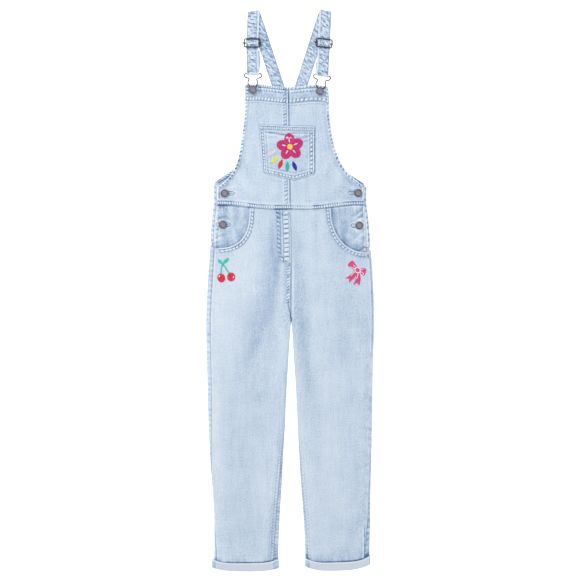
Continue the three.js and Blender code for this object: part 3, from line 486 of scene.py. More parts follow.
def mapped(tree, scale=(1, 1, 1), turn=0.0):
    """Object coordinates, turned about Z and then stretched."""
    coords = tree.nodes.new("ShaderNodeTexCoord").outputs["Object"]
    rotate = tree.nodes.new("ShaderNodeMapping")
    rotate.inputs["Rotation"].default_value = (0, 0, turn)
    stretch = tree.nodes.new("ShaderNodeMapping")
    stretch.inputs["Scale"].default_value = scale
    tree.links.new(coords, rotate.inputs["Vector"])
    tree.links.new(rotate.outputs[0], stretch.inputs["Vector"])
    return stretch.outputs[0]


def noise(tree, vector, scale, detail=2.0, roughness=0.5):
    """A noise texture's value, moved to lie round 0."""
    node = tree.nodes.new("ShaderNodeTexNoise")
    node.inputs["Scale"].default_value = scale
    node.inputs["Detail"].default_value = detail
    node.inputs["Roughness"].default_value = roughness
    tree.links.new(vector, node.inputs["Vector"])
    return maths(tree, "SUBTRACT", node.outputs[0], 0.5)


def linear(rgb):
    """Display colour of 0 to 255 as linear light."""
    c = np.asarray(rgb, float) / 255
    return tuple(float(v) for v in np.where(c <= 0.04045, c / 12.92, ((c + 0.055) / 1.055) ** 2.4))


def colour_ramp(tree, value, stops):
    """A colour ramp from (position, (red, green, blue)) stops in display values of 0 to 255."""
    node = tree.nodes.new("ShaderNodeValToRGB")
    elements = node.color_ramp.elements
    while len(elements) > 1:
        elements.remove(elements[-1])
    for i, (position, rgb) in enumerate(stops):
        element = elements[0] if i == 0 else elements.new(position)
        element.position = position
        element.color = (*linear(rgb), 1)
    tree.links.new(value, node.inputs["Fac"])
    return node.outputs["Color"]


print("mid grey in linear light:", round(linear((128, 128, 128))[0], 3))

# %% [markdown]
# ## Washed denim
# Washed denim is one effect on many pieces, so it is built once as a node group. A number on every
# vertex says how far the indigo has worn: -1 is deep blue in a pucker's trough, 0 the plain cloth and
# 1 a worn ridge. The same number also carries painted light and shade: painted shadow beside raised
# edges, under the cuffs and in the fork, and painted shade in soft folds. Inside the group, warp
# streaks, weft slubs, grain and soft clouds shift that number before a colour ramp turns it into
# indigo, and the twill's ribs leave as a height for the bump.

# %% A node group with named sockets


def new_group(name, inputs, outputs):
    """An empty group: its inputs are (name, default) numbers, its outputs (name, kind of socket)."""
    tree = bpy.data.node_groups.new(name, "ShaderNodeTree")
    for socket_name, default in inputs:
        socket = tree.interface.new_socket(name=socket_name, in_out="INPUT", socket_type="NodeSocketFloat")
        socket.default_value = default
    for socket_name, kind in outputs:
        tree.interface.new_socket(name=socket_name, in_out="OUTPUT", socket_type=kind)
    return tree, tree.nodes.new("NodeGroupInput").outputs, tree.nodes.new("NodeGroupOutput").inputs


denim_group, given, result = new_group(
    "washed denim",
    [("Wash and shade", 0.0), ("Cloud", 0.1), ("Slub", 0.1), ("Blotch", 0.0)],
    [("Color", "NodeSocketColor"), ("Height", "NodeSocketFloat")],
)
print("sockets:", len(denim_group.interface.items_tree))

# %% Indigo, from deep to worn
INDIGO = [
    (0.0, (78, 110, 152)),
    (0.2, (126, 154, 190)),
    (0.36, (168, 190, 216)),
    (0.5, (202, 218, 236)),
    (0.64, (221, 233, 245)),
    (0.8, (238, 244, 251)),
    (1.0, (250, 252, 254)),
]
warp = noise(denim_group, mapped(denim_group, (1, 0.05, 1)), 620, 3)
weft = noise(denim_group, mapped(denim_group, (0.05, 1, 1)), 520, 3)
grain = noise(denim_group, mapped(denim_group), 900, 2, 0.6)
fleck = noise(denim_group, mapped(denim_group, (1, 0.6, 1)), 520, 2, 0.6)
cloud = noise(denim_group, mapped(denim_group, (1, 0.6, 1)), 34, 4, 0.55)
blotch = noise(denim_group, mapped(denim_group, (0.42, 1, 1), 0.62), 210, 3, 0.62)
warps = maths(denim_group, "MULTIPLY", warp, 1.5)
threads = weighted(denim_group, warps, (weft, 0.8), (grain, 1.2), (fleck, 3.4))
worn = weighted(
    denim_group, given["Wash and shade"], (cloud, given["Cloud"]), (threads, given["Slub"]), (blotch, given["Blotch"])
)
shade = maths(denim_group, "MULTIPLY_ADD", worn, 0.5, 0.5)
denim_group.links.new(colour_ramp(denim_group, shade, INDIGO), result["Color"])
print("stops of indigo:", len(INDIGO))

# %% The twill's ribs
twill = denim_group.nodes.new("ShaderNodeTexWave")
twill.inputs["Scale"].default_value = 330
twill.inputs["Distortion"].default_value = 1.2
twill.inputs["Detail Scale"].default_value = 3
denim_group.links.new(mapped(denim_group, turn=1.05), twill.inputs["Vector"])
ribs = maths(denim_group, "MULTIPLY", twill.outputs["Fac"], 0.55)
denim_group.links.new(weighted(denim_group, ribs, (warp, 0.8), (grain, 0.6)), result["Height"])
print("denim group:", len(denim_group.nodes), "nodes")

# %% [markdown]
# ## Materials
# Each material reads that number of wash and painted shade from its piece, and `inside` tells the
# cut's wrong side, where the white weft shows. Straps were washed rolled up, so their blotches are far
# stronger. Thread is plain cotton with a soft sheen, and the fittings are dark antiqued metal whose
# high spots were buffed pale and whose tops carry a painted highlight.

# %% Parts of a material


def principled(name, roughness, metallic=0.0):
    material = bpy.data.materials.new(name)
    material.use_nodes = True
    shader = material.node_tree.nodes["Principled BSDF"]
    shader.inputs["Roughness"].default_value = roughness
    shader.inputs["Metallic"].default_value = metallic
    return material, material.node_tree, shader


def attribute(tree, name):
    node = tree.nodes.new("ShaderNodeAttribute")
    node.attribute_name = name
    return node.outputs["Fac"]


def bump_into(tree, height, shader, distance):
    """Fine relief by light alone; the distance is in metres."""
    node = tree.nodes.new("ShaderNodeBump")
    node.inputs["Distance"].default_value = distance
    tree.links.new(height, node.inputs["Height"])
    tree.links.new(node.outputs["Normal"], shader.inputs["Normal"])


MATERIAL = {}
print("material parts ready")

# %% Denim
WEFT_GREY = (213, 221, 235)


def denim(name, shift=0.0, cloud=0.08, slub=0.24, blotch=0.0):
    """Denim from the shared group; the shift makes all of it paler or bluer."""
    material, tree, shader = principled(name, 0.88)
    group = tree.nodes.new("ShaderNodeGroup")
    group.node_tree = denim_group
    group.inputs["Cloud"].default_value = cloud
    group.inputs["Slub"].default_value = slub
    group.inputs["Blotch"].default_value = blotch
    tree.links.new(maths(tree, "ADD", attribute(tree, "wash"), shift), group.inputs["Wash and shade"])
    mix = tree.nodes.new("ShaderNodeMix")
    mix.data_type = "RGBA"
    tree.links.new(attribute(tree, "inside"), mix.inputs["Factor"])
    tree.links.new(group.outputs["Color"], mix.inputs[6])
    mix.inputs[7].default_value = (*linear(WEFT_GREY), 1)
    tree.links.new(mix.outputs[2], shader.inputs["Base Color"])
    shader.inputs["Sheen Weight"].default_value = 0.12
    shader.inputs["Sheen Roughness"].default_value = 0.5
    shader.inputs["Specular IOR Level"].default_value = 0.2
    bump_into(tree, group.outputs["Height"], shader, 0.00016)
    return material


MATERIAL["front"] = denim("washed denim front")
MATERIAL["back"] = denim("washed denim back", shift=-0.05)
MATERIAL["strap"] = denim("mottled strap denim", shift=-0.08, cloud=0.15, slub=0.4, blotch=0.5)
MATERIAL["strap_back"] = denim("mottled strap denim, back", shift=-0.12, cloud=0.15, slub=0.4, blotch=0.5)
MATERIAL["wrong_side"] = denim("wrong side of the denim", cloud=0.06, slub=0.12)
# Deep blue: painted shadow inside a buttonhole's slit.
MATERIAL["slit"] = denim("buttonhole slit, painted shadow", shift=-0.5)
print("denims:", len(MATERIAL))

# %% Thread and metal


def thread(name, rgb, roughness=0.5, sheen=0.3):
    """Spun thread, its fibres seen as fine flecks."""
    material, tree, shader = principled(name, roughness)
    fleck = noise(tree, mapped(tree, turn=0.8), 1500, 2)
    low, high = [np.clip(np.array(rgb) * k, 0, 255) for k in (0.86, 1.1)]
    shade = maths(tree, "MULTIPLY_ADD", fleck, 1.6, 0.5)
    tree.links.new(colour_ramp(tree, shade, [(0.0, low), (1.0, high)]), shader.inputs["Base Color"])
    shader.inputs["Sheen Weight"].default_value = sheen
    shader.inputs["Specular IOR Level"].default_value = 0.35
    bump_into(tree, fleck, shader, 0.00008)
    return material


def antique_metal(name, dark, light, roughness):
    """Cast or drawn metal, dark in its hollows and light where the piece is marked as polished: rubbed wear
    and painted highlight.
    """
    material, tree, shader = principled(name, roughness, 0.85)
    patina = noise(tree, mapped(tree), 420, 4, 0.65)
    scratch = noise(tree, mapped(tree, (1, 0.08, 1), 0.7), 2600, 2)
    polish = weighted(tree, attribute(tree, "polish"), (patina, 0.7), (scratch, 0.25))
    tree.links.new(colour_ramp(tree, polish, [(0.0, dark), (1.0, light)]), shader.inputs["Base Color"])
    tree.links.new(maths(tree, "MULTIPLY_ADD", patina, 0.3, roughness), shader.inputs["Roughness"])
    bump_into(tree, maths(tree, "ADD", patina, scratch), shader, 0.00006)
    return material


MATERIAL["thread"] = thread("pale cotton thread", (222, 231, 242))
MATERIAL["wire"] = antique_metal("dark clasp wire", (12, 13, 18), (62, 62, 72), 0.42)
MATERIAL["metal"] = antique_metal("antiqued fitting", (22, 23, 30), (104, 104, 116), 0.34)
MATERIAL["button"] = antique_metal("antiqued button", (74, 74, 86), (184, 182, 198), 0.46)
print("materials:", len(MATERIAL))

# %% [markdown]
# ## Cloth shells
# Every piece of cloth becomes a thin closed shell: a fine grid for the face, a coarser one a wall below
# it where nobody looks, and a rim between them. Relief is added along the normal, so a pucker really
# stands up. The outermost ring of the face is drawn in, which rounds the edge as a turned hem is rounded.

# %% Meshes from arrays


def mesh_object(name, points, faces, material, **attributes):
    """One smooth mesh from arrays, in millimetres, with a number on each vertex for every attribute.
    Faces are one array, or a list of arrays that differ in their number of sides."""
    faces = [np.asarray(part) for part in (faces if isinstance(faces, list) else [faces])]
    corners = np.concatenate([part.ravel() for part in faces])
    sides = np.concatenate([np.full(len(part), part.shape[1]) for part in faces])
    mesh = bpy.data.meshes.new(name)
    mesh.vertices.add(len(points))
    mesh.vertices.foreach_set("co", (np.asarray(points) * MM).astype(np.float32).ravel())
    mesh.loops.add(len(corners))
    mesh.loops.foreach_set("vertex_index", corners.astype(np.int32))
    mesh.polygons.add(len(sides))
    mesh.polygons.foreach_set("loop_start", (np.cumsum(sides) - sides).astype(np.int32))
    mesh.polygons.foreach_set("use_smooth", np.ones(len(sides), bool))
    mesh.update(calc_edges=True)
    mesh.validate()
    for key, values in attributes.items():
        data = mesh.attributes.new(key, "FLOAT", "POINT").data
        data.foreach_set("value", np.asarray(values, np.float32).ravel())
    mesh.materials.append(material)
    piece = bpy.data.objects.new(name, mesh)
    bpy.context.scene.collection.objects.link(piece)
    return piece


print("mesh builder ready")

# %% Grids


def unit(vectors):
    """Vectors with their length made 1."""
    return vectors / np.maximum(np.linalg.norm(vectors, axis=-1, keepdims=True), 1e-9)


def grid_normals(middle, up):
    normal = unit(np.cross(np.gradient(middle, axis=1), np.gradient(middle, axis=0)))
    turned = (normal[..., 2].mean() > 0) != up
    return (-normal if turned else normal), turned


def grid_faces(rows, columns, first=0):
    j, i = np.meshgrid(np.arange(rows - 1), np.arange(columns - 1), indexing="ij")
    a = (first + j * columns + i).ravel()
    return np.stack([a, a + 1, a + columns + 1, a + columns], axis=1)


def blurred(values, cells):
    """The running mean of a grid over a square of that many cells to each side."""
    for axis in (0, 1):
        margin = [(cells + 1, cells) if a == axis else (0, 0) for a in (0, 1)]
        total = np.cumsum(np.pad(values, margin, "edge"), axis=axis)
        count, window = values.shape[axis], 2 * cells + 1
        ends = np.take(total, np.arange(window, window + count), axis)
        values = (ends - np.take(total, np.arange(count), axis)) / window
    return values


print("faces of a 3 by 4 grid:", len(grid_faces(3, 4)))

# %% The hidden side and the rim


def coarse(count, stride=3):
    """Which lines of a grid the hidden side keeps: one in three, and the outermost two at each end."""
    return np.unique([0, *range(1, count - 1, stride), count - 2, count - 1])


def rim_faces(rows, columns, low_index):
    """Triangles between the edge of the fine face and the edge of the coarse one behind it."""
    loop = np.concatenate(
        [
            np.arange(columns),
            np.arange(1, rows) * columns + columns - 1,
            (rows - 1) * columns + np.arange(columns - 2, -1, -1),
            np.arange(rows - 2, -1, -1) * columns,
        ]
    )
    low = low_index.ravel()[loop]
    kept = np.flatnonzero(low >= 0)
    before = kept[np.searchsorted(kept, np.arange(len(loop) - 1), side="right") - 1]
    fans = np.stack([loop[1:], loop[:-1], low[before]], axis=1)
    closing = np.stack([loop[kept[1:]], low[kept[:-1]], low[kept[1:]]], axis=1)
    return np.concatenate([fans, closing])


print("lines kept of 20:", len(coarse(20)))

# %% The shell


def shell(name, middle, relief, wash, material, wall=CLOTH, up=True, crisp=0.0):
    """A closed shell round a grid of points on the middle of the cloth. The more crisp, the further the
    wash sets narrow lights and darks apart from the cloth round them."""
    rows, columns = middle.shape[:2]
    wash = np.broadcast_to(wash, (rows, columns))
    wash = wash + crisp * (wash - blurred(wash, 4))
    normal, turned = grid_normals(middle, up)
    rim = np.zeros((rows, columns))
    rim[[0, -1], :] = 1
    rim[:, [0, -1]] = 1
    rim = rim * np.clip(1 + relief / wall, 0.1, 1)
    high = middle + normal * (wall / 2 + relief - 0.42 * wall * rim)[..., None]
    low = middle - normal * (wall / 2 - 0.3 * wall * rim)[..., None]
    kept = np.ix_(coarse(rows), coarse(columns))
    low = low[kept]
    under, behind = rows * columns, low.shape[0] * low.shape[1]
    low_index = np.full((rows, columns), -1)
    low_index[kept] = under + np.arange(behind).reshape(low.shape[:2])
    faces = [
        np.concatenate([grid_faces(rows, columns), grid_faces(*low.shape[:2], under)[:, ::-1]]),
        rim_faces(rows, columns, low_index),
    ]
    if turned:
        faces = [part[:, ::-1] for part in faces]
    inside = np.concatenate([np.zeros(under), np.ones(behind)])
    washed = np.concatenate([wash.ravel(), np.zeros(behind)])
    points = np.concatenate([high.reshape(-1, 3), low.reshape(-1, 3)])
    return mesh_object(name, points, faces, material, wash=washed, inside=inside)


print("shell builder ready")

# %% [markdown]
# ## What each piece stands for
# Every visible piece rides on the one body, and hides the solid that it stands for, if any. A narrow
# hem or a row of thread belongs to the panel that it is sewn on, so it is parented to it.

# %% Declaring pieces


def declare(piece, node, sewn_on=None):
    """Hangs a piece on the root body, parented first to the panel that it is sewn on, if any, and hides the
    solid that it stands for.
    """
    if sewn_on:
        piece.parent = bpy.data.objects[sewn_on]
    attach(piece, "root")
    if node:
        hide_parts(node)


def cloth(
    node, middle, relief, wash, finish, slot, name=None, sewn_on=None, held="laid", rests_on=(), **form
):
    """A shell of cloth that stands for a node, parented to the panel that it is sewn on, if any."""
    piece = shell(name or f"denim_{node}", middle, relief, wash, MATERIAL[finish], **form)
    declare(piece, node, sewn_on)


print("ways to declare ready")

# %% [markdown]
# ## Puckers along a seam
# Where two rows of stitches hold several layers, washing shrinks the thread and the band ripples into a
# rope of slanting beads. Their tops wear pale and their troughs stay blue. Each pattern below runs from
# -1 to 1, uneven in strength and spacing, and serves the relief and the wash alike.

# %% Ropes, chains and bars


def rope(along, across, period, slant, seed):
    """Slanting beads down a band; across runs from 0 at one edge of the band to 1 at the other."""
    drift = 0.4 * waver(along, 3.7 * period, seed) + 0.15 * waver(along, 1.3 * period, seed + 5)
    phase = along / period + slant * across + drift
    beads = 1 - 2 * (0.5 - 0.5 * np.cos(2 * np.pi * phase)) ** 1.5
    uneven = waver(along + slant * across * period, 1.2 * period, seed + 9)
    strength = 0.75 + 0.25 * waver(along, 2.1 * period, seed + 1)
    return (0.8 * strength * beads + 0.5 * uneven) * np.sin(np.pi * np.clip(across, 0, 1)) ** 0.6


def per_bead(number, seed):
    """An uneven share from 0 to 1 that belongs to one bead of a row."""
    return np.abs(np.sin(12.99 * number + 7.31 * seed))


def chain(along, across, period, half, seed, slant=0.0):
    """Oval beads (1) parted by narrow strokes (-1), within half a width of the middle of their row."""
    phase = (along + slant * across) / period + 0.25 * waver(along, 2.7 * period, seed)
    number = np.round(phase)
    bead = (0.6 + 0.4 * per_bead(number, seed)) * bump(phase - number, 0.27) * bump(across, 0.62 * half)
    stroke = bump(np.abs(phase - number) - 0.5, 0.14) * ramp(half + 0.5, half - 0.5, np.abs(across))
    return bead - (0.4 + 0.6 * per_bead(np.floor(phase), seed + 1)) * stroke


def bars_of(along, period, seed):
    """Straight bars across a seam, of uneven length: 1 on a bar and -1 between two."""
    phase = along / period + 0.25 * waver(along, 2.7 * period, seed)
    number = np.round(phase)
    bar = ramp(0.42, 0.16 + 0.12 * per_bead(number, seed), np.abs(phase - number))
    return (2 * bar - 1) * (0.6 + 0.4 * per_bead(number, seed + 1))


def gap_to(points, x, y):
    """Distance in the plan from each place of a grid to the nearest point of a line."""
    line = np.asarray(points)[:, :2]
    near = [np.hypot(a[:, None] - line[:, 0], b[:, None] - line[:, 1]).min(axis=1) for a, b in zip(x, y)]
    return np.array(near)


print("rope sample:", round(float(rope(3.0, 0.5, 7.0, 0.6, 1)), 3))

# %% [markdown]
# ## Tone and shade of the big panels
# Faded denim isn't one blue, and its soft folds fall into shade. A table of soft patches paints both:
# the uneven fade of the wash, painted shade where the cloth dips in a fold or lies by a button, and
# paler patches where it stands proud, partly worn and partly painted light. It says where: centre,
# size, lean and strength of each.

# %% Tone patches
TONE_AND_SHADE = table(
    "x y width length lean tone",
    # Left leg, from the top down
    (-84, 90, 26, 60, 0.0, 0.06), (-119, 76, 12, 12, 0.0, -0.12), (-32, 66, 15, 50, -0.1, -0.1),
    (-48, 55, 8, 30, 0.0, -0.07), (-112, 20, 34, 60, 0.0, 0.19), (-38, -10, 17, 70, 0.12, -0.13),
    (-70, -50, 11, 62, 0.1, -0.1), (-132, -60, 26, 70, 0.0, 0.1), (-140, -60, 30, 70, 0.0, 0.03),
    (-38, -62, 7, 40, 0.1, -0.07), (-46, -78, 11, 42, 0.42, 0.1), (-19, -95, 9, 70, 0.0, 0.12),
    (-70, -110, 14, 48, 0.42, -0.21), (-122, -118, 18, 40, 0.0, 0.09), (-48, -168, 14, 28, 0.0, -0.04),
    (-76, -185, 12, 40, 0.2, -0.06), (-62, -212, 10, 36, 0.0, -0.08), (-17, -240, 7, 18, 0.0, -0.07),
    (-148, -260, 8, 200, 0.0, 0.18), (-106, -290, 11, 40, 0.0, -0.06), (-142, -300, 22, 210, 0.0, 0.1),
    (-52, -315, 10, 34, 0.0, -0.07), (-40, -330, 18, 90, 0.0, 0.04), (-115, -350, 12, 34, 0.0, -0.06),
    (-27, -358, 10, 34, 0.0, 0.14), (-52, -395, 24, 70, 0.0, 0.1), (-70, -415, 18, 40, 0.0, 0.05),
    (-136, -420, 12, 90, 0.0, 0.07), (-86, -420, 52, 110, 0.0, -0.05), (-90, -470, 24, 40, 0.0, 0.06),
    (-36, -486, 10, 46, 0.0, -0.16),
    # Right leg, from the top down
    (52, 115, 8, 46, 0.0, -0.1), (46, 100, 24, 46, 0.0, 0.05), (14, 92, 10, 20, 0.0, -0.1),
    (98, 72, 14, 22, 0.0, -0.12), (46, 30, 18, 40, 0.0, 0.05), (16, 5, 9, 70, 0.0, -0.14),
    (122, -12, 18, 24, 0.0, -0.07), (163, -12, 6, 20, 0.0, -0.1), (84, -60, 34, 90, 0.0, 0.03),
    (14, -66, 6, 22, 0.0, 0.1), (104, -80, 28, 90, 0.0, -0.1), (38, -85, 9, 60, -0.05, -0.1),
    (24, -90, 11, 60, -0.1, -0.16), (24, -172, 9, 26, 0.0, 0.1), (150, -180, 10, 150, 0.0, -0.02),
    (40, -200, 12, 70, -0.18, -0.11), (32, -240, 8, 36, 0.0, -0.07), (66, -250, 26, 60, 0.0, 0.07),
    (80, -250, 26, 110, 0.0, 0.06), (112, -290, 12, 40, 0.0, 0.05), (26, -330, 20, 150, -0.08, 0.08),
    (134, -380, 11, 100, 0.03, -0.06), (56, -420, 30, 60, 0.0, 0.06), (84, -420, 24, 70, 0.0, 0.07),
    (46, -425, 16, 80, 0.0, 0.08), (152, -470, 16, 70, 0.0, -0.03), (124, -482, 14, 46, 0.5, -0.12),
    (108, -528, 26, 18, 0.0, -0.14),
    # Bib, from the top down
    (-84, 366, 12, 22, 0.0, 0.06), (60, 350, 16, 30, 0.3, -0.07), (28, 336, 7, 18, 0.1, -0.09),
    (-50, 330, 30, 40, 0.0, -0.03), (-70, 230, 34, 40, 0.0, 0.06), (138, 218, 14, 8, 0.0, -0.14),
    (60, 215, 34, 26, 0.0, -0.02), (-128, 211, 10, 8, 0.0, -0.14), (-105, 210, 22, 24, 0.0, 0.07),
    (120, 196, 26, 30, 0.0, -0.12), (28, 190, 20, 26, 0.0, 0.06), (-140, 188, 8, 9, 0.0, -0.14),
    (-25, 184, 10, 10, 0.0, -0.08),
)


# The patches summed, fade and painted shade alike, with faint uneven lumps.
def tone(x, y):
    total = 0
    for centre_x, centre_y, width, length, lean, strength in zip(*TONE_AND_SHADE.values()):
        across, up = x - centre_x - lean * (y - centre_y), y - centre_y
        total = total + strength * bump(across, width) * bump(up, length)
    return total + 0.05 * lumps(x, y, 38, 60, 5) + 0.03 * lumps(x, y, 12, 22, 6)


print("tone at the thigh:", round(float(tone(-62.0, -112.0)), 2))

# %% [markdown]
# ## Back of the legs
# The back panel is the underside of each tube, flat on the surface, and turns round the side edges on to
# the front. That turned strip is what shows beside the seam, beaded where the seam allowance behind it
# shrank. The rows are close together so that the beads are round.

# %% Creases of a leg


def creases(x, y, side):
    """Long shallow creases that run down a leg, uneven, with a few short ones across."""
    out = SIGN[side]
    down = waver(x + 0.05 * y * out, 21, 301 + out) * lumps(x, y, 60, 120, 303 + out)
    across = waver(y + 0.3 * out * x, 24, 305 + out) * lumps(x, y, 30, 50, 307 + out)
    return 0.7 * down + 0.4 * across


print("crease sample:", round(float(creases(60.0, -200.0, "right")), 3))

# %% Back legs
SIDE_ROPE = {"left": (10.6, -0.12, 0.24), "right": (12.0, 0.06, 0.24)}  # period, inner tone, strength


def back_leg_grid(side):
    """Points of the back leg, and the distances round the tube: of each point, and of the two seams."""
    foot, rows = LEG_FOOT[side], LEG_ROWS[side]
    y = lerp(foot, WAIST_Y - GAP / 2, steps(WAIST_Y - foot, 1.9))[:, None]
    tube = leg_tube(side, y)
    opening = ramp(OPENING_FOOT[side], OPENING_FOOT[side] + OPENING_TURN, y)
    start = lerp(read(rows, "y", y, "out_seam") - LEG_SEAM / 2, -tube["quarter"], opening)
    turned = lerp(read(rows, "y", y, "in_seam") - LEG_SEAM / 2, -tube["quarter"], tube["opened"])
    end = -tube["half"] - turned
    fine = steps(12, 0.9)[:-1]
    outer, inner = start + tube["quarter"] + 3, turned + tube["quarter"] + 3
    flat = np.linspace(0, 1, 26)
    distance = np.concatenate(
        [start - outer * fine, lerp(start - outer, end + inner, flat), end + inner * fine[::-1]], axis=1
    )
    y = np.broadcast_to(y, distance.shape)
    return leg_point(side, y, distance), y, tube, distance, start, end


def back_leg(side):
    left = side == "left"
    middle, y, tube, distance, start, end = back_leg_grid(side)
    x = middle[..., 0]
    shown = middle[..., 2] > leg_lift(y) + tube["radius"]
    by_outer = shown & (distance > -tube["half"] / 2)
    by_inner = shown & (distance < -tube["half"] / 2)
    period, inner_tone, depth = SIDE_ROPE[side]
    fade = lerp(1.0, 0.7, ramp(-270, -330, y)) if left else lerp(1.0, 1.5, ramp(-430, -490, y))
    outer_beads = rope(y, 0.5 + 0 * y, period, 0, 11) * by_outer * fade
    inner_beads = rope(y, 0.5 + 0 * y, 7.2, 0, 12) * by_inner
    mid_leg = ramp(-70, -120, y) * ramp(-330, -280, y)
    outer_line = 0.12 + 0.3 * ramp(-90, -60, y) if left else 0.3
    above_cuff = middle[..., 1] - cuff_edge(side, x, "top")
    wash = (
        (0.1 + 0.14 * mid_leg * left) * by_outer
        + depth * outer_beads
        + 0.12 * waver(y + 0.4 * (distance - start), 3.4, 13) * by_outer
        - outer_line * bump(start - distance - 0.2, 0.9) * by_outer
        + inner_tone * by_inner
        + 0.26 * inner_beads
        - (0.16 if left else 0.04) * bump(distance - end, 1.2) * by_inner
        # The lower half of the tube a little darker, painted shade, and the strip just above the cuff darker:
        # painted shadow of the cuff.
        - 0.1 * (1 - shown)
        - (0.42 if left else 0.8) * bump(above_cuff - 2, 5 if left else 8) * shown
        - 0.24 * ramp(-430, -490, y) * by_outer * (not left)
        + 0.08 * lumps(x, y, 30, 50, 21)
    )
    relief = (0.35 * outer_beads + 0.3 * inner_beads) * shown
    relief = relief - 0.3 * creases(x, y, side) * (distance < 0) * (1 - shown)
    cloth(f"back_leg_{side}", middle, relief, wash, "back", "back_denim", up=False)


for side in SIGN:
    back_leg(side)

# %% [markdown]
# ## Front of the legs
# The front panel runs between the seams, with the pocket mouth scooped out of its top corner. Its tone
# patches, long folds, fine whiskers at the crotch and felled inside seam are all written as functions of
# the place on the leg, so the two legs differ as real ones do.

# %% The scooped pocket mouth


def scoop_point(side, turn, margin):
    """A point of the pocket mouth: turn runs from 0 at the waist to 1 at the side."""
    scoop = SCOOP[side]
    angle = turn * np.pi / 2
    power = 2 / scoop["roundness"]
    top = waist_line(scoop["edge"] - SIGN[side] * scoop["width"])
    x = scoop["edge"] - SIGN[side] * (scoop["width"] + margin) * np.cos(angle) ** power
    return x, top - (top - scoop["foot"] + margin) * np.sin(angle) ** power


def scoop_edge(side, y):
    """x of the pocket mouth at a height."""
    scoop = SCOOP[side]
    top = waist_line(scoop["edge"] - SIGN[side] * scoop["width"])
    down = np.clip((top - y) / (top - scoop["foot"]), 0, 1)
    inwards = (1 - down ** scoop["roundness"]) ** (1 / scoop["roundness"])
    return scoop["edge"] - SIGN[side] * scoop["width"] * inwards


def mouth_line(side, margin):
    """The whole pocket mouth as points, at a margin from its edge."""
    return np.stack(scoop_point(side, np.linspace(0, 1, 260), margin), axis=-1)


print("pocket mouth at y 120:", round(float(scoop_edge("left", 120.0)), 1))

# %% Grid of a front leg


def front_leg_grid(side):
    """Points of the front leg, and how far each lies from the outer and from the inner seam."""
    foot, mouth, rows = LEG_FOOT[side], SCOOP[side]["foot"], LEG_ROWS[side]
    top = WAIST_Y - GAP / 2
    turns = np.linspace(0, 1, 44)[1:] ** 1.5
    along_leg = lerp(foot, mouth, steps(mouth - foot, 1.6))[:-1]
    y = np.concatenate([along_leg, lerp(mouth + 0.05, top, turns * 0.985), [top - 0.4, top]])[:, None]
    tube = leg_tube(side, y)
    start = read(rows, "y", y, "out_seam") + LEG_SEAM / 2
    at_mouth = tube["quarter"] - tube["radius"] + np.abs(scoop_edge(side, y + 4) - tube["outer"])
    start = np.where(y > mouth, np.maximum(start, at_mouth), start)
    end = tube["half"] - lerp(read(rows, "y", y, "in_seam") + LEG_SEAM / 2, tube["quarter"], tube["opened"])
    across = steps_between([0, 0.12, 0.86, 1.0], [0.0085, 0.0155, 0.0072], 0.003)[None, :]
    distance = lerp(start, end, across)
    y = np.broadcast_to(y, distance.shape)
    return leg_point(side, y, distance), y, distance - start, end - distance


print("front leg grid:", front_leg_grid("left")[0].shape[:2])

# %% What only the left leg carries: the felled seam below the fly


def fly_seam_marks(x, y, from_in):
    on_centre, stem, low_fly = ramp(-44, -18, y), ramp(-60, -44, y), ramp(60, 44, y)
    centre = rope(y, np.clip((from_in - 3.4) / 6.8, 0, 1), 6.1, 0.5, 35) * on_centre * ramp(62, 44, y)
    stem_line = bump(from_in - 1.2, 1.3) * stem * ramp(60, 40, y)
    fork = bump(from_in - lerp(1.5, 6.5, ramp(-52, -28, y)), 1.2) * ramp(-60, -50, y) * ramp(-14, -28, y)
    wash = (
        0.62 * centre
        + on_centre * low_fly * lines(from_in, (9, 6, -0.2), (20, 4, 0.1))
        - 0.5 * stem_line
        - 0.1 * bump(from_in - 5, 4.5) * stem * ramp(44, 24, y)
        - 0.5 * fork
        - 0.1 * bump(x + 34, 7) * ramp(62, 76, y)
        - 0.16 * bump(x + 27, 6) * bump(y - 30, 20)
        - 0.2 * bump(x + 25, 5) * bump(y - 60, 7)
    )
    return wash, 0.4 * centre - 0.2 * stem_line


print("fly seam sample:", round(float(fly_seam_marks(-6.0, 20.0, 7.0)[0]), 3))

# %% What only the right leg carries: outlines of its edges


def right_edge_marks(x, y, from_in, out_edge, from_mouth):
    low_leg = ramp(-230, -310, y)
    outline = bump(out_edge - 3.0, 1.1) * ramp(72, 60, y) * lerp(1, 0.2, ramp(-90, -150, y))
    stem_ridge = bump(from_in - 2.6, 1.3) * ramp(-66, -58, y)
    return (
        0.07 * low_leg * bump(from_in - 8.2, 2.4)
        - 0.42 * outline
        + 0.16 * bump(out_edge - 5.6, 1.0) * (outline.max(axis=1, keepdims=True) > 0.5)
        - 0.06 * low_leg * bump(out_edge - 12, 6)
        - 0.4 * lines(x, (149, 1.3, 1), (146.4, 1.2, -0.6)) * ramp(-462, -485, y)
        + 0.24 * stem_ridge * ramp(70, 50, y)
        - 0.12 * bump(from_mouth - 1, 3.5)
    )


print("marks of the right leg ready")

# %% Front legs
# Puckers beside the side seam of each leg: distance in, width, size and strength
SIDE_PUCKER = {
    "left": [(14.0, 9.0, 9.0, 0.03), (4.0, 3.0, 6.0, 0.05)],
    "right": [(4.0, 3.5, 6.5, 0.12), (10.0, 6.0, 9.0, 0.05)],
}


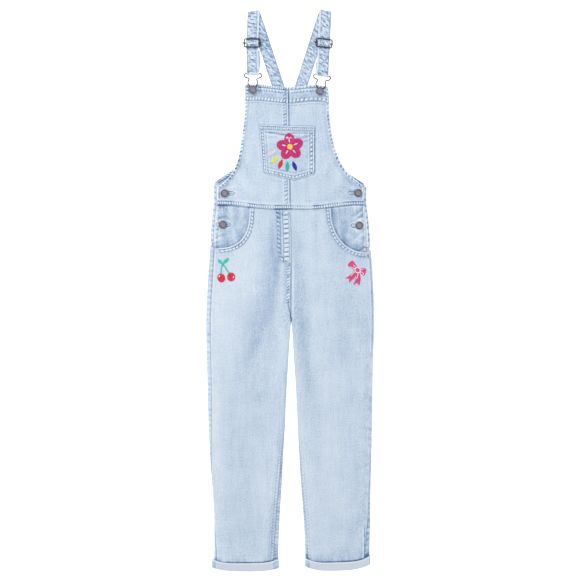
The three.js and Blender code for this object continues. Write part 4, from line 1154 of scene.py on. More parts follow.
def front_leg(side):
    out, foot, left = SIGN[side], LEG_FOOT[side], side == "left"
    middle, y, from_out, from_in = front_leg_grid(side)
    x = middle[..., 0]
    in_edge = np.abs(x - read(LEG_ROWS[side], "y", y, "inner"))
    out_edge = np.abs(x - leg_tube(side, y)["outer"])
    mouth = mouth_line(side, 9.6)
    from_mouth = gap_to(mouth, x, y)
    mouth_dark = bump(from_mouth, 1.5)
    dashes = rope(0.8 * (np.abs(x - mouth[0, 0]) - y), 0.5, 7.0, 0, 30)
    below = ramp(SCOOP[side]["foot"] - 2, SCOOP[side]["foot"] - 12, y)
    low_leg = ramp(-230, -310, y)
    high_leg = ramp(-60, -130, y) * (1 - low_leg)
    ridge = below * bump(from_out - 2.6, 1.5) * (1 - 0.5 * low_leg)
    felled = ramp(-290, -340, y) if left else ramp(-310, -350, y)
    inside = chain(y, from_in - 2.9, 5.9 if left else 6.3, 2.3, 31 + out) * felled
    rail = bump(np.abs(from_in - 2.9) - 2.9, 0.8) * felled
    crotch = bump(np.hypot(x - 2, (y + 56) * 0.6), 17)
    rays = np.sin(np.arctan2(y + 52, (x - 2) * 1.4) * 13 + 2 * lumps(x, y, 30, 30, 37)) * crotch
    hem_ripple = bump(y - foot - 16, 12) * waver(x, 7, 38 + out)
    pucker = ramp(0, -120, y) * sum(
        strength * bump(from_out - place, wide) * waver(y + 0.4 * x, size, 41 + number)
        for number, (place, wide, size, strength) in enumerate(SIDE_PUCKER[side])
    )
    above_cuff = middle[..., 1] - cuff_edge(side, x, "top")
    # How strong the painted shadow of the cuff is across the leg.
    cuff_shade = ramp(-150, -118, x) if left else lerp(0.3, 1.15, ramp(46, 96, x))
    wave = 0.5 * lumps(x, y, 9, 90, 39 + out) + 0.5 * lumps(x, y, 26, 16, 40 + out)
    crease = creases(x, y, side)
    top = waist_line(x) - y - (waist_line(x) - WAIST_Y) * ramp(95, 155, y)
    if left:
        own_wash, own_relief = fly_seam_marks(x, y, from_in)
        own_wash = own_wash - 0.07 * low_leg * bump(from_in - 10.5, 1.1)
        own_wash = own_wash - 0.12 * high_leg * bump(in_edge - 2.6, 2.4)
    else:
        own_wash, own_relief = right_edge_marks(x, y, from_in, out_edge, from_mouth), 0
    wash = (
        tone(x, y)
        + 0.03
        + own_wash
        + mouth_dark * (0.2 * dashes - 0.12)
        - (0.2 if left else 0.3 * ramp(-140, -90, y)) * below * bump(from_out, 0.8)
        + (0.2 if left else 0.05) * ridge
        + (0.26 if left else 0.24) * inside
        - (0.16 if left else 0.14) * rail
        - (0.13 if left else -0.03) * low_leg * bump(from_in - 4, 6.5)
        # A dark line along the cuff's top edge and a softer band above it by the leg's edges: painted shadow
        # of the cuff.
        - (0.75 + 0.3 * waver(x, 22, 47 + out)) * bump(above_cuff - 0.5, 1.5) * cuff_shade
        - (0.34 if left else 0.2) * bump(above_cuff - 2, 4.5) * ramp(15, 5, np.minimum(out_edge, in_edge))
        - 0.1 * crotch
        + 0.09 * rays
        + pucker
        - 0.2 * bump(y - foot - 12, 7)
        + 0.14 * hem_ripple
        + 0.05 * wave
        + 0.1 * crease
        + 0.2 * bump(top - 2.9, 0.9)
        # The dark line under the waist band: painted shadow of its edge.
        - 0.5 * read(WAIST_LINES, "x", x, "seam", True) * bump(top - 0.2, 1.1)
        - 0.06 * ramp(9, 4, top)
    )
    relief = own_relief + 0.35 * inside + 0.25 * ridge + 0.1 * mouth_dark * dashes + 0.2 * rays
    relief = relief + 0.4 * hem_ripple + 1.2 * pucker + 0.15 * wave + 0.5 * crease
    rests_on = [f"denim_back_leg_{side}"]
    cloth(f"front_leg_{side}", middle, relief, wash, "front", "front_denim", rests_on=rests_on, crisp=0.5)


for side in SIGN:
    front_leg(side)

# %% [markdown]
# ## Hip pieces
# Inside each scooped mouth lies the hip piece, painted a little darker as shade under the front
# panel's mouth, with short creases that pull from the buttonhole. The buttonhole's own rim shades the
# cloth round it, as painted shade.

# %% Cloth round a buttonhole


def hole_distance(level, side, x, y):
    """Distance in the plan from the middle line of a buttonhole."""
    centre_x, centre_y, first, last = SIDE_BUTTONS[(level, side)]
    return np.hypot(x - np.clip(x, centre_x + first, centre_x + last), y - centre_y)


def hole_wash(level, side, x, y):
    """Round a buttonhole the bound rim is pale, and the cloth just beyond it is darkened: painted shade of
    the raised binding.
    """
    return lines(hole_distance(level, side, x, y), (1.6, 0.8, 0.3), (3.3, 0.9, -0.55), (5.2, 1.0, 0.14))


print("wash at a hole's rim:", round(float(hole_wash("upper", "left", -130.4, 194.6)), 2))

# %% Hip pieces


def hip_grid(side):
    turn = steps(110, 1.0)[:, None] * 0.93
    curve_x, curve_y = scoop_point(side, turn, 12.0)
    x = lerp(read(HIP_EDGE, "y", curve_y, side), curve_x, steps(80, 1.0)[None, :])
    y = curve_y + ramp(0.25, 0.0, turn) * (waist_line(x) - GAP / 2 - waist_line(curve_x)) + 0 * x
    return points_at(x, y, 2 * LAYER + CLOTH / 2)


def hip_piece(side):
    out, left = SIGN[side], side == "left"
    middle = hip_grid(side)
    x, y = middle[..., 0], middle[..., 1]
    button_x, button_y = SIDE_BUTTONS[("lower", side)][:2]
    edge = np.abs(x - read(HIP_EDGE, "y", y, side))
    into = gap_to(mouth_line(side, 0.0), x, y)
    below_waist = waist_line(x) - y
    soft = waver(x + 0.12 * (y - 120), 7.5, 52 + out)
    cross = waver(y + 0.25 * out * (x - button_x), 5.2, 53 + out) * bump(edge - 8, 9 if left else 13)
    slanted = waver(y - 0.75 * (x - button_x) * out, 5.6, 54) * bump(edge - 9, 13) * (not left)
    ring = bump(np.hypot(x - button_x + 3 * out, (y - button_y) * 1.3) - 12.5, 2.2)
    band = chain(y, edge - 2.6, 9.0, 2.6, 55 + out)
    uneven = 0.6 + 0.5 * waver(np.abs(x) - y, 13, 58 + out)
    fine = waver(x + 0.1 * y, 2.6, 57) * bump(below_waist - 8, 9) * bump(edge - 14, 12)
    # The whole piece a little darker, painted shade, with darker and paler patches.
    if left:
        corners = -0.05 - 0.18 * bump(np.hypot(x + 119, y - 82), 14) - 0.12 * bump(edge - 15, 9)
        corners = corners + 0.12 * bump(np.hypot(x + 143, y - 98), 10)
    else:
        corners = -0.04 - 0.13 * bump(x - 110, 5) - 0.2 * bump(np.hypot(x - 99, y - 82), 18)
    wash = (
        corners
        + lines(edge, (1.2, 1.2, 0.3), (5, 3, -0.08))
        + 0.1 * soft
        + (0.22 if left else 0.18) * cross
        + 0.28 * slanted
        + 0.16 * band
        + 0.16 * fine
        + 0.13 * ring
        # A dark line beside the mouth's edge, and a broad soft one: painted shadow of the front panel's edge.
        - (0.25 if left else 0.36) * uneven * bump(into - 1.8, 1.5) * (1 - 0.5 * bump(below_waist, 16))
        - 0.14 * bump(into - 6, 6)
        + 0.24 * bump(below_waist - 3.0, 1.0)
        # The dark line under the waist band: painted shadow of its edge.
        - 0.6 * read(WAIST_LINES, "x", x, "seam", True) * bump(below_waist - 0.2, 1.2)
        + 0.06 * bump(y - 96, 9)
        + 0.08 * lumps(x, y, 7, 9, 56)
        + hole_wash("lower", side, x, y)
    )
    relief = 0.3 * soft + 0.35 * cross + 0.4 * slanted + 0.25 * band + 0.25 * ring + 0.12 * fine
    rests_on = [f"denim_back_leg_{side}"]
    cloth(f"hip_piece_{side}", middle, relief, wash, "back", "back_denim", rests_on=rests_on, crisp=0.9)


print("points of a hip piece:", hip_grid("left").shape[:2])

# %% [markdown]
# ## Button stands and pocket mouths
# Outside the hip piece the button stand of the side opening shows as a pale strip with two puckered
# rows. The mouth's own hem is a rolled white edge and a rope of beads below it. Both are narrow grids
# that follow their edge, so that a bead always lies along it.

# %% Button stands


def placket(side):
    out, left = SIGN[side], side == "left"
    foot, top = OPENING_FOOT[side] + OPENING_TURN + 1, PLACKET_TOP[side]
    y = lerp(foot, top, steps(top - foot, 1.0))[:, None]
    inwards = steps_between([0, 14, 42], [0.6, 3.5])[None, :]
    x = read(LEG_ROWS[side], "y", y, "outer") - out * (0.2 + inwards)
    middle = points_at(x, y, LAYER + CLOTH / 2)
    fold = rope(y, np.clip(inwards / 6.5, 0, 1), 10.5 if left else 10.8, 0.2, 61 + out)
    line = 5.3 if left else 3.0
    wash = (
        0.16
        + 0.26 * fold
        + lines(inwards - line, (0, 1.0, -0.3 if left else -0.4), (2.4, 1.0, 0.3))
        - 0.14 * ramp(10, 12, inwards)
        + 0.08 * lumps(x, y, 8, 12, 62)
    )
    relief = 0.3 * fold + 0.25 * bump(inwards - 8, 1.6)
    node, name, rests_on = f"side_placket_{side}", f"denim_placket_{side}", [f"denim_back_leg_{side}"]
    cloth(node, middle, relief, wash, "back", "back_denim", name, rests_on=rests_on, crisp=0.8)


print("button stands, mm tall:", [round(PLACKET_TOP[side] - OPENING_FOOT[side], 1) for side in SIGN])

# %% Pocket mouths


def pocket_mouth_form(side, turn, margin, lift=0.0):
    x, y = scoop_point(side, turn, margin)
    return points_at(x, y, front_leg_middle(side, x, y) + LAYER + lift)


def pocket_mouth(side):
    out, left = SIGN[side], side == "left"
    turn = lerp(0.015, 0.955, steps(150, 0.6))[:, None]
    margin = lerp(0.4, 8.6, steps(8.2, 0.5))[None, :]
    middle = pocket_mouth_form(side, turn, margin)
    along = line_length(middle[:, 0])[:, None]
    row = margin - (6.2 if left else 6.7)
    beads = chain(along, row, 7.1, 2.6, 71 + out, 0.25 * out)
    roll = bump(margin - (1.5 if left else 2.2), 1.1)
    wash = (
        (0.0 if left else -0.12)
        + (0.5 if left else 0.46) * roll
        + 0.54 * beads
        - (0.3 + 0.4 * ramp(-84, -104, middle[..., 0])) * bump(np.abs(row) - 2.7, 0.8)
        - 0.3 * bump(margin - 0.2, 0.9) * (not left)
        + 0.08 * waver(along, 19, 73)
    )
    relief = 0.3 * roll + 0.4 * beads - 0.2 * bump(row + 2.7, 0.7) - 0.5 * ramp(7.6, 8.6, margin)
    panel = f"denim_front_leg_{side}"
    cloth(f"pocket_mouth_{side}", middle, relief, wash, "front", "trim_denim", sewn_on=panel, crisp=0.5)


for side in SIGN:
    hip_piece(side)
    placket(side)
    pocket_mouth(side)

# %% [markdown]
# ## Bib
# The bib is two panels that meet in a felled centre seam. Its sides curve out into the armholes. The
# grid follows both edges, so each row runs from the centre seam to the armhole edge at one height of
# that edge. The felled allowance left of the seam is a narrow beaded band, broken only by the pocket.

# %% Form of the bib and its centre seam


def bib_form(side, share, edge_y, lift=0.0):
    """A point of the bib by its share of the way out from the centre and the height of its side edge."""
    edge_x = read(BIB_EDGE[side], "y", edge_y, "x")
    climb = (edge_y - waist_line(edge_x)) / (bib_top_line(edge_x) - waist_line(edge_x))
    seam_y = lerp(WAIST_Y, bib_top_line(0.0), climb)
    x = lerp(bib_seam(seam_y) + SIGN[side] * GAP / 2, edge_x, share)
    y = lerp(waist_line(x) + GAP / 2, bib_top_line(x), climb)
    return points_at(x, y, bib_middle(x, y) + lift)


def seam_band(x, y, seed):
    """The felled allowance left of the centre seam, in mm from the seam, and its beads."""
    inwards = bib_seam(y) - x
    return inwards, rope(y, (inwards - 5.0) / 6.5, 6.7, 0.5, seed)


def felled_wash(inwards, beads):
    """Wash of the felled band: seam line, ridge, needle line, beads and outer edge."""
    near_seam = lines(inwards, (1.0, 1.0, -0.42), (3.1, 0.8, 0.08), (5.6, 1.1, -0.26))
    return near_seam + 0.4 * beads + lines(inwards, (8.5, 2.6, -0.2), (10.8, 1.0, -0.1), (13.2, 1.0, 0.1))


print("middle of the left bib:", [round(float(v)) for v in bib_form("left", 0.5, 300.0)])

# %% Form of the pocket, round which the bib carries a painted shadow
POCKET = {"left": -61.2, "right": 49.6, "foot_left": -54.6, "top": 328.5, "corner": 236.0, "point": 219.4}
POCKET_WIDE, POCKET_TALL, POCKET_POINT_X = 110.0, 98.0, 8.0


def pocket_form(across, up, lift):
    left, right, point = POCKET["left"], POCKET["right"], POCKET["point"]
    share = np.minimum(up / 0.08, 1)
    round_in = 5.0 * (1 - np.sqrt(np.clip(1 - (1 - share) ** 2, 0, 1)))
    x = lerp(lerp(POCKET["foot_left"], left, up) + round_in, right - round_in, across)
    left_foot = lerp(point, POCKET["corner"], (POCKET_POINT_X - x) / (POCKET_POINT_X - left))
    right_foot = lerp(point, POCKET["corner"] - 4, (x - POCKET_POINT_X) / (right - POCKET_POINT_X))
    foot = np.where(x < POCKET_POINT_X, left_foot, right_foot)
    y = lerp(foot, POCKET["top"] + lerp(1.5, -2.2, across), up)
    return points_at(x, y, bib_middle(x, y) + lift)


def pocket_outline():
    """The pocket's edge in the plan, as points."""
    t = np.linspace(0, 1, 90)
    sides = [(0 * t, t), (t, 0 * t), (1 + 0 * t, t), (t, 1 + 0 * t)]
    return np.concatenate([pocket_form(across, up, LAYER) for across, up in sides])


print("pocket outline:", len(pocket_outline()), "points")

# %% Back of the bib
BACK_BIB_TOP = 392.0


def back_edge(side, y):
    """x of the back bib's side edge, which curves only above its bend."""
    return np.where(y < BACK_BEND, read(BACK_BIB, "y", y, side, True), read(BACK_BIB, "y", y, side))


def back_bib():
    edge_y = lerp(WAIST_Y, BACK_BIB_TOP, steps(BACK_BIB_TOP - WAIST_Y, 3.0))[:, None]
    x = lerp(back_edge("left", edge_y), back_edge("right", edge_y), steps(2 * HALF_HIP, 4.0)[None, :])
    y = edge_y + (back_waist_line(x) - WAIST_Y + GAP) * (1 - ramp(WAIST_Y, 212, edge_y))
    middle = points_at(x, y, CLOTH / 2)
    cloth("back_bib", middle, 0 * x, -0.08 + 0.06 * lumps(x, y, 24, 34, 91), "back", "back_denim")


back_bib()
print("back bib made")

# %% Front panels of the bib


def front_bib_grid(side):
    top_y = BIB_EDGE[side]["y"].max()
    foot_y = float(waist_line(BIB_EDGE[side]["x"][-1]))
    edge_y = lerp(foot_y, top_y, steps(top_y - foot_y, 1.4))[:, None]
    share = steps_between([0, 0.14, 0.84, 1.0], [0.0075, 0.018, 0.0095], 0.004)[None, :]
    armhole_y = np.linspace(204, top_y, 240)
    armhole = np.stack([read(BIB_EDGE[side], "y", armhole_y, "x"), armhole_y], axis=-1)
    return bib_form(side, share, edge_y), armhole


def front_bib(side):
    out, left = SIGN[side], side == "left"
    middle, armhole = front_bib_grid(side)
    x, y = middle[..., 0], middle[..., 1]
    inwards, beads = seam_band(x, y, 81)
    from_armhole = gap_to(armhole, x, y)
    side_edge = np.abs(x - read(BIB_EDGE[side], "y", y, "x")) + 40 * ramp(205, 213, y)
    button_x, button_y = SIDE_BUTTONS[("upper", side)][:2]
    reach = np.hypot(x - button_x, (y - button_y) * 1.3)
    pull = waver(y + 0.3 * out * (x - button_x), 5.0, 82) * bump(reach - 14, 10)
    corner = bump(np.hypot(x - out * 100, y - 232), 34)
    drape = np.sin((x * out - y) / 7.5 + 1.5 * lumps(x, y, 30, 30, 83)) * corner
    inside_pocket = (x > -60) & (x < 49) & (y > 226) & (y < 327)
    # A dark line just outside the pocket's edge: painted shadow of the pocket.
    shadow_round_pocket = lines(gap_to(pocket_outline(), x, y), (1.0, 1.4, -0.1), (4.8, 1.0, 0.05)) * (1 - inside_pocket)
    if left:
        centre = felled_wash(inwards, beads)
    else:
        centre = -0.03 * ramp(-14, -4, inwards) - 0.28 * bump(inwards + 0.4, 0.9)
    wash = (
        tone(x, y)
        + 0.02
        + centre
        + shadow_round_pocket
        + 0.2 * pull
        + 0.07 * drape
        + 0.06 * bump(from_armhole - 7.6, 1.0)
        - (0.09 * ramp(320, 290, y) if left else 0.1) * ramp(16, 9, from_armhole)
        # Darker round the side button: painted shade.
        - 0.12 * bump(reach, 24)
        + lines(bib_top_line(x) - y, (34.2, 1.0, 0.08), (36.6, 1.0, -0.13))
        + 0.12 * bump(y - waist_line(x) - 12.2, 1.2)
        + hole_wash("upper", side, x, y)
        + lines(side_edge, (1.4, 1.3, 0.45), (4.4, 1.1, -0.2))
        + 0.06 * lumps(x, y, 16, 40, 84)
    )
    relief = 0.35 * beads * left + 0.35 * pull + 0.25 * drape
    relief = relief - 0.25 * bump(inwards, 0.9) + 0.15 * lumps(x, y, 20, 30, 85)
    rests_on = ["denim_back_bib"]
    cloth(f"front_bib_{side}", middle, relief, wash, "front", "front_denim", rests_on=rests_on, crisp=0.9)


for side in SIGN:
    front_bib(side)

# %% [markdown]
# ## Hems and bands of the bib
# The top of the bib is turned down and stitched twice, so it carries two rows of beads and thick corners.
# Narrow hems follow the armholes. A hem that runs on a curve has too much edge for its width, which is
# why its beads slant like a twisted rope.

# %% Top bands


def bib_top_band(side):
    out, left = SIGN[side], side == "left"
    top_y = BIB_EDGE[side]["y"].max()
    edge_y = lerp(top_y - BAND_HEIGHT, top_y - 0.5, steps(BAND_HEIGHT, 0.6))[:, None]
    middle = bib_form(side, lerp(0.006, 0.994, steps(85, 0.6))[None, :], edge_y, LAYER)
    x, y = middle[..., 0], middle[..., 1]
    down = bib_top_line(x) - y
    inwards, beads = seam_band(x, y, 107)
    edge = np.abs(x - read(BIB_EDGE[side], "y", edge_y, "x"))
    top_row = chain(x, down - (3.0 if left else 2.2), 4.6 if left else 7.4, 3.2, 101 + out, 0.25)
    second = chain(x, down - 10.0, 6.2, 2.4, 102 + out)
    low_row = chain(x, down - (28.6 if left else 27.2), 6.0 if left else 8.4, 3.4, 103 + out, 0.2)
    side_row = chain(y, edge - (4.4 if left else 3.6), 6.6, 2.8, 105 + out, -0.5 * out)
    from_button, over_button = x - BIB_BUTTON[side][0], y - BIB_BUTTON[side][1]
    near = bump(np.hypot(from_button + out * 12, over_button + 2), 9) * waver(x, 3.5, 110) * 0.5
    tack = bump(from_button + out * 14.5, 1.6) * bump(over_button - 4, 6)
    tack = tack + 0.6 * bump(from_button + out * 15, 3) * bump(over_button + 3, 6)
    corner = waver(x * 0.7 + y * 0.7, 5.0, 112) * bump(edge - 9, 9)
    if left:
        centre = felled_wash(inwards, 0.8 * beads)
        across = lines(down, (0.4, 1.2, 0.36), (5.9, 0.8, -0.36), (8.8, 1.2, 0.2), (32.2, 0.9, -0.24))
    else:
        centre = lines(inwards, (-0.4, 0.9, -0.36), (-2.8, 0.9, 0.2))
        across = lines(down, (0.4, 1.2, 0.22), (5.2, 0.8, -0.36), (8.0, 1.2, 0.2), (31.3, 0.9, -0.24))
    wash = (
        centre
        + across
        + lines(down, (12.2, 1.2, -0.18), (23.5, 2.0, -0.06))
        - 0.11
        + 0.4 * top_row
        + 0.3 * second
        + 0.42 * low_row
        + 0.4 * side_row * ramp(2, 4, down)
        + 0.24 * near
        - (0.5 if left else 0.15) * tack
        + 0.12 * corner
        + 0.1 * lumps(x, y, 6, 5, 109)
        + 0.08 * waver(x, 3.2, 106) * bump(down - 16, 7)
        - 0.2 * bump(x + 10, 6) * bump(down - 5, 5)
    )
    relief = 0.3 * top_row + 0.15 * second + 0.36 * low_row + 0.3 * side_row + 0.35 * beads * left
    relief = relief + 0.25 * corner + 0.25 * near - 0.4 * ramp(1.5, 0, BAND_HEIGHT - down)
    tie = {"held": "folded", "rests_on": [f"denim_front_bib_{side}"]}
    cloth(f"bib_top_band_{side}", middle, relief, wash, "front", "front_denim", crisp=1.1, **tie)


print("top bands:", BAND_HEIGHT, "mm tall")

# %% Armhole hems


def edge_strip(edge, y, inset, sign):
    """A line inside a side edge, given as a function of y, moved inwards by the inset."""
    along_x, along_y = edge(y + 2) - edge(y - 2), 4.0
    size = np.hypot(along_x, along_y)
    return edge(y) - sign * inset * along_y / size, y + sign * inset * along_x / size


def armhole_hem_form(side, y, inset, lift=0.0):
    x, y = edge_strip(lambda at: read(BIB_EDGE[side], "y", at, "x"), y, inset, SIGN[side])
    return points_at(x, y, bib_middle(x, y) + LAYER + lift)


def armhole_hem(side):
    out, left = SIGN[side], side == "left"
    top = BIB_EDGE[side]["y"].max() - BAND_HEIGHT - 1
    y = lerp(208.0, top, steps(190, 0.6))[:, None]
    inset = lerp(0.4, HEM_WIDTH, steps(6.6, 0.5))[None, :]
    middle = armhole_hem_form(side, y, inset)
    along = line_length(middle[:, 0])[:, None]
    beads = rope(along, inset / 6.0, 7.5 if left else 8.0, 0.3 * out, 111 + out)
    low = ramp(310, 290, y)
    wash = (
        -0.02
        + (0.6 + 0.16 * low) * beads
        + 0.3 * bump(inset - 0.5, 1.0)
        - (0.02 + 0.2 * low if left else 0.24 - 0.1 * low) * bump(inset - 3.6, 1.8)
        + (0.3 - 0.18 * low) * ramp(4.6, 6.4, inset)
        + (0.6 if left else 0.35) * bump(y - 216, 26) * bump(inset - 1.0, 1.3)
        - 0.35 * bump(y - 214, 22) * bump(inset - 4.0, 1.8)
    )
    relief = 0.45 * beads - PRESSED * ramp(HEM_WIDTH - 1.6, HEM_WIDTH, inset)
    panel = f"denim_front_bib_{side}"
    cloth(f"armhole_hem_{side}", middle, relief, wash, "front", "trim_denim", sewn_on=panel, crisp=0.15)


print("armhole hems:", HEM_WIDTH, "mm wide")

# %% Bands of the back bib
BACK_BAND_FOOT = {"left": 217.0, "right": 212.0}


def back_top_band(side):
    out, foot = SIGN[side], BACK_BAND_FOOT[side]
    y = lerp(foot + 2.6, 290.0, steps(110, 0.8))[:, None]
    inset = lerp(0.2, HEM_WIDTH, steps(6.8, 0.55))[None, :]
    x, band_y = edge_strip(lambda at: back_edge(side, np.maximum(at, foot)), y, inset, out)
    middle = points_at(x, band_y, LAYER + CLOTH / 2)
    along = line_length(middle[:, 0])[:, None]
    beads = rope(along, inset / HEM_WIDTH, 6.8, 1.0 * out, 121 + out)
    # Darker along the band's inner edge and, on the right, near its foot: painted shadow at the edge and in
    # the gap under the front bib.
    dark = -0.35 - 0.35 * ramp(240, 226, y) if side == "right" else -0.1
    wash = dark + 0.6 * beads + 0.3 * bump(inset - 0.4, 0.8) - 0.65 * ramp(4.2, 6.6, inset)
    cloth(f"back_top_band_{side}", middle, 0.4 * beads, wash, "back", "trim_denim", sewn_on="denim_back_bib")


for side in SIGN:
    bib_top_band(side)
    armhole_hem(side)
    back_top_band(side)

# %% [markdown]
# ## Bib pocket
# A patch pocket is a piece with turned edges, sewn on by two rows down its sides and round its foot. The
# cloth between the rows beads, and a soft crease crosses it under the hem where the hand opens it.

# %% Pocket


def pocket_crease(x, y):
    """The crease under the hem and the ridge beside it."""
    t = (x + 50) / 66
    across = ramp(-56, -44, x) * ramp(24, 6, x)
    return bump(y - lerp(316, 306, t), 2.0) * across, bump(y - lerp(311.5, 300.5, t), 2.6) * across


def bib_pocket():
    up, across = steps(105, 0.75)[:, None], steps(POCKET_WIDE, 0.75)[None, :]
    middle = pocket_form(across, up, LAYER)
    x, y = middle[..., 0], middle[..., 1]
    from_left, from_right = across * POCKET_WIDE, (1 - across) * POCKET_WIDE
    from_foot, from_top = up * POCKET_TALL, (1 - up) * POCKET_TALL
    inner = ramp(2, 8, from_left) * ramp(2, 8, from_right)
    left_row = chain(y, from_left - 4.8, 6.6, 1.9, 131, 0.2)
    right_row = chain(y, from_right - 7.2, 8.8, 2.9, 132, 0.3)
    foot_row = chain(x, from_foot - 4.6, 6.6, 2.1, 133, 0.2) * inner
    crease, ridge = pocket_crease(x, y)
    drag = waver(y - 0.22 * x, 4.6, 136) * ramp(-56, -40, x) * bump(from_top - 22, 12)
    wash = (
        -0.05
        + tone(x, y)
        + 0.38 * left_row
        + 0.44 * right_row
        + 0.36 * foot_row
        + lines(from_left, (0.6, 0.9, 0.12), (2.4, 0.9, -0.3), (7.2, 0.9, -0.1))
        + lines(from_left, (9.4, 1.0, 0.1), (11.6, 0.8, -0.12), (15.0, 1.4, 0.08))
        # The dark line right at the pocket's right edge: painted shadow.
        + lines(from_right, (0.6, 1.0, -0.4), (3.0, 0.8, 0.2), (7.2, 3, -0.08), (13.0, 1.2, 0.1))
        - 0.16 * bump(np.abs(from_right - 7.2) - 3.0, 0.7)
        + lines(from_foot, (0.2, 0.8, 0.16), (2.2, 0.8, -0.26))
        + lines(from_foot, (7.0, 0.8, -0.18), (10.0, 1.0, 0.12), (13.0, 1.0, -0.1)) * inner
        - 0.3 * crease
        + 0.16 * ridge
        + 0.14 * drag
        + 0.14 * bump(from_top - 11.0, 0.8)
        - 0.26 * bump(from_top - 13.0, 0.9) * ramp(-16, 6, x)
        + 0.07 * lumps(x, y, 8, 7, 134)
    )
    relief = 0.3 * (left_row + right_row + foot_row) + 0.35 * (drag - crease + ridge)
    relief = relief * ramp(10, 13, from_top) + 0.2 * lumps(x, y, 22, 22, 135)
    rests_on = ["denim_front_bib_left", "denim_front_bib_right"]
    cloth("bib_pocket", middle, relief, wash, "front", "front_denim", rests_on=rests_on, crisp=1.3)


bib_pocket()

# %% Hem of the pocket


def bib_pocket_hem():
    up = lerp(0.9, 0.995, steps(9.8, 0.5))[:, None]
    across = lerp(0.004, 0.996, steps(POCKET_WIDE, 0.6))[None, :]
    middle = pocket_form(across, up, 2 * LAYER)
    x = middle[..., 0]
    inset = (0.995 - up) / 0.095 * 9.8
    ticks = chain(x, inset - 5.4, 3.9, 1.8, 141, 0.15) * (0.75 + 0.5 * waver(x, 17, 144))
    ends = bump(across * POCKET_WIDE - 7, 3) + bump((1 - across) * POCKET_WIDE - 7, 3)
    wash = (
        -0.03
        + 0.42 * ticks
        + 0.3 * bump(inset - 0.8, 0.9) * ramp(0.04, 0.08, across)
        - 0.32 * bump(inset - 3.0, 0.9) * (1 + 0.5 * waver(x, 4.4, 145))
        # A dark line near the hem's lower edge: painted shadow of that edge.
        - 0.28 * bump(inset - 8.0, 1.0)
        + 0.16 * waver(x + 0.3 * inset, 3.2, 142) * bump(inset - 8.2, 1.1)
        - 0.16 * ends
        + 0.1 * waver(x, 14, 143)
    )
    relief = 0.3 * ticks - 0.15 * bump(inset - 2.9, 0.7) - 0.4 * ramp(8.6, 9.8, inset)
    panel = "denim_bib_pocket"
    cloth("bib_pocket_hem", middle, relief, wash, "front", "trim_denim", sewn_on=panel, crisp=1.0)


bib_pocket_hem()

# %% [markdown]
# ## Waist seam and mock fly
# The trousers are sewn to the bib under a felled band that reads as one dark line with a beaded strip
# above it. The mock fly is only stitching on real overalls of this cut: a strip beside the centre seam
# whose many layers ripple into pale bars, and a curved row of stitches that ends in a bartack.

# %% Waist band


def waist_form(x, rise, lift=0.0):
    y = waist_line(x) + rise
    return points_at(x, y, bib_middle(x, y) + LAYER + lift)


def waist_band():
    rise = lerp(0.6, 11.4, steps(10.8, 0.5))[:, None]
    ends = [read(BIB_EDGE[s], "y", WAIST_Y + WAIST_RISE + rise, "x") - SIGN[s] * 0.6 for s in SIGN]
    x = lerp(*ends, steps(292, 0.6)[None, :])
    middle = waist_form(x, rise)
    seam = read(WAIST_LINES, "x", x, "seam", True)
    needle = read(WAIST_LINES, "x", x, "needle", True)
    line = rise + ramp(0, 20, x)
    ticks = chain(x, line - 4.2, 4.6, 3.0, 151, 0.2)
    wash = (
        -0.03
        + 0.38 * ticks * (0.8 + 0.5 * waver(x, 23, 155) + 0.6 * needle)
        + 0.12 * waver(x, 17, 153)
        # The dark line along the band's foot: painted shadow under its edge.
        - (0.02 + 0.66 * seam) * bump(line - 0.9, 0.9)
        - (0.03 + 0.62 * needle * (1 + 0.35 * waver(x, 2.6, 154))) * bump(line - 7.2, 1.1)
        + 0.1 * bump(line - 4.2, 1.6) * (1 - needle)
        + 0.3 * bump(line - 10.4, 1.0)
        - 0.12 * needle
        + lines(x, (-98, 13, 0.14), (-14, 13, -0.14), (53, 6, -0.14), (130, 16, -0.14))
        - 0.3 * bump(x - bib_seam(161.0), 1.2)
    )
    relief = 0.3 * ticks + lines(rise, (10.0, 1.0, 0.12), (7.4, 0.8, -0.15))
    relief = relief - PRESSED * ramp(10.2, 11.4, rise)
    tie = {"held": "folded", "rests_on": ["denim_front_bib_left", "denim_front_bib_right"]}
    cloth("waist_band", middle, relief, wash, "front", "trim_denim", crisp=0.8, **tie)


waist_band()

# %% Mock fly
FLY = {"width": 30.0, "straight": 80.0, "foot": 50.0, "top": WAIST_Y - 0.8}


def fly_form(share, y, lift=0.0):
    turn = np.clip((FLY["straight"] - y) / (FLY["straight"] - FLY["foot"]), 0, 1)
    right = centre_seam(y) - 1
    x = right - FLY["width"] * np.sqrt(np.clip(1 - turn**2, 0.0, 1)) * (1 - share)
    return points_at(x, y, front_leg_middle("left", x, y) + LAYER + lift)


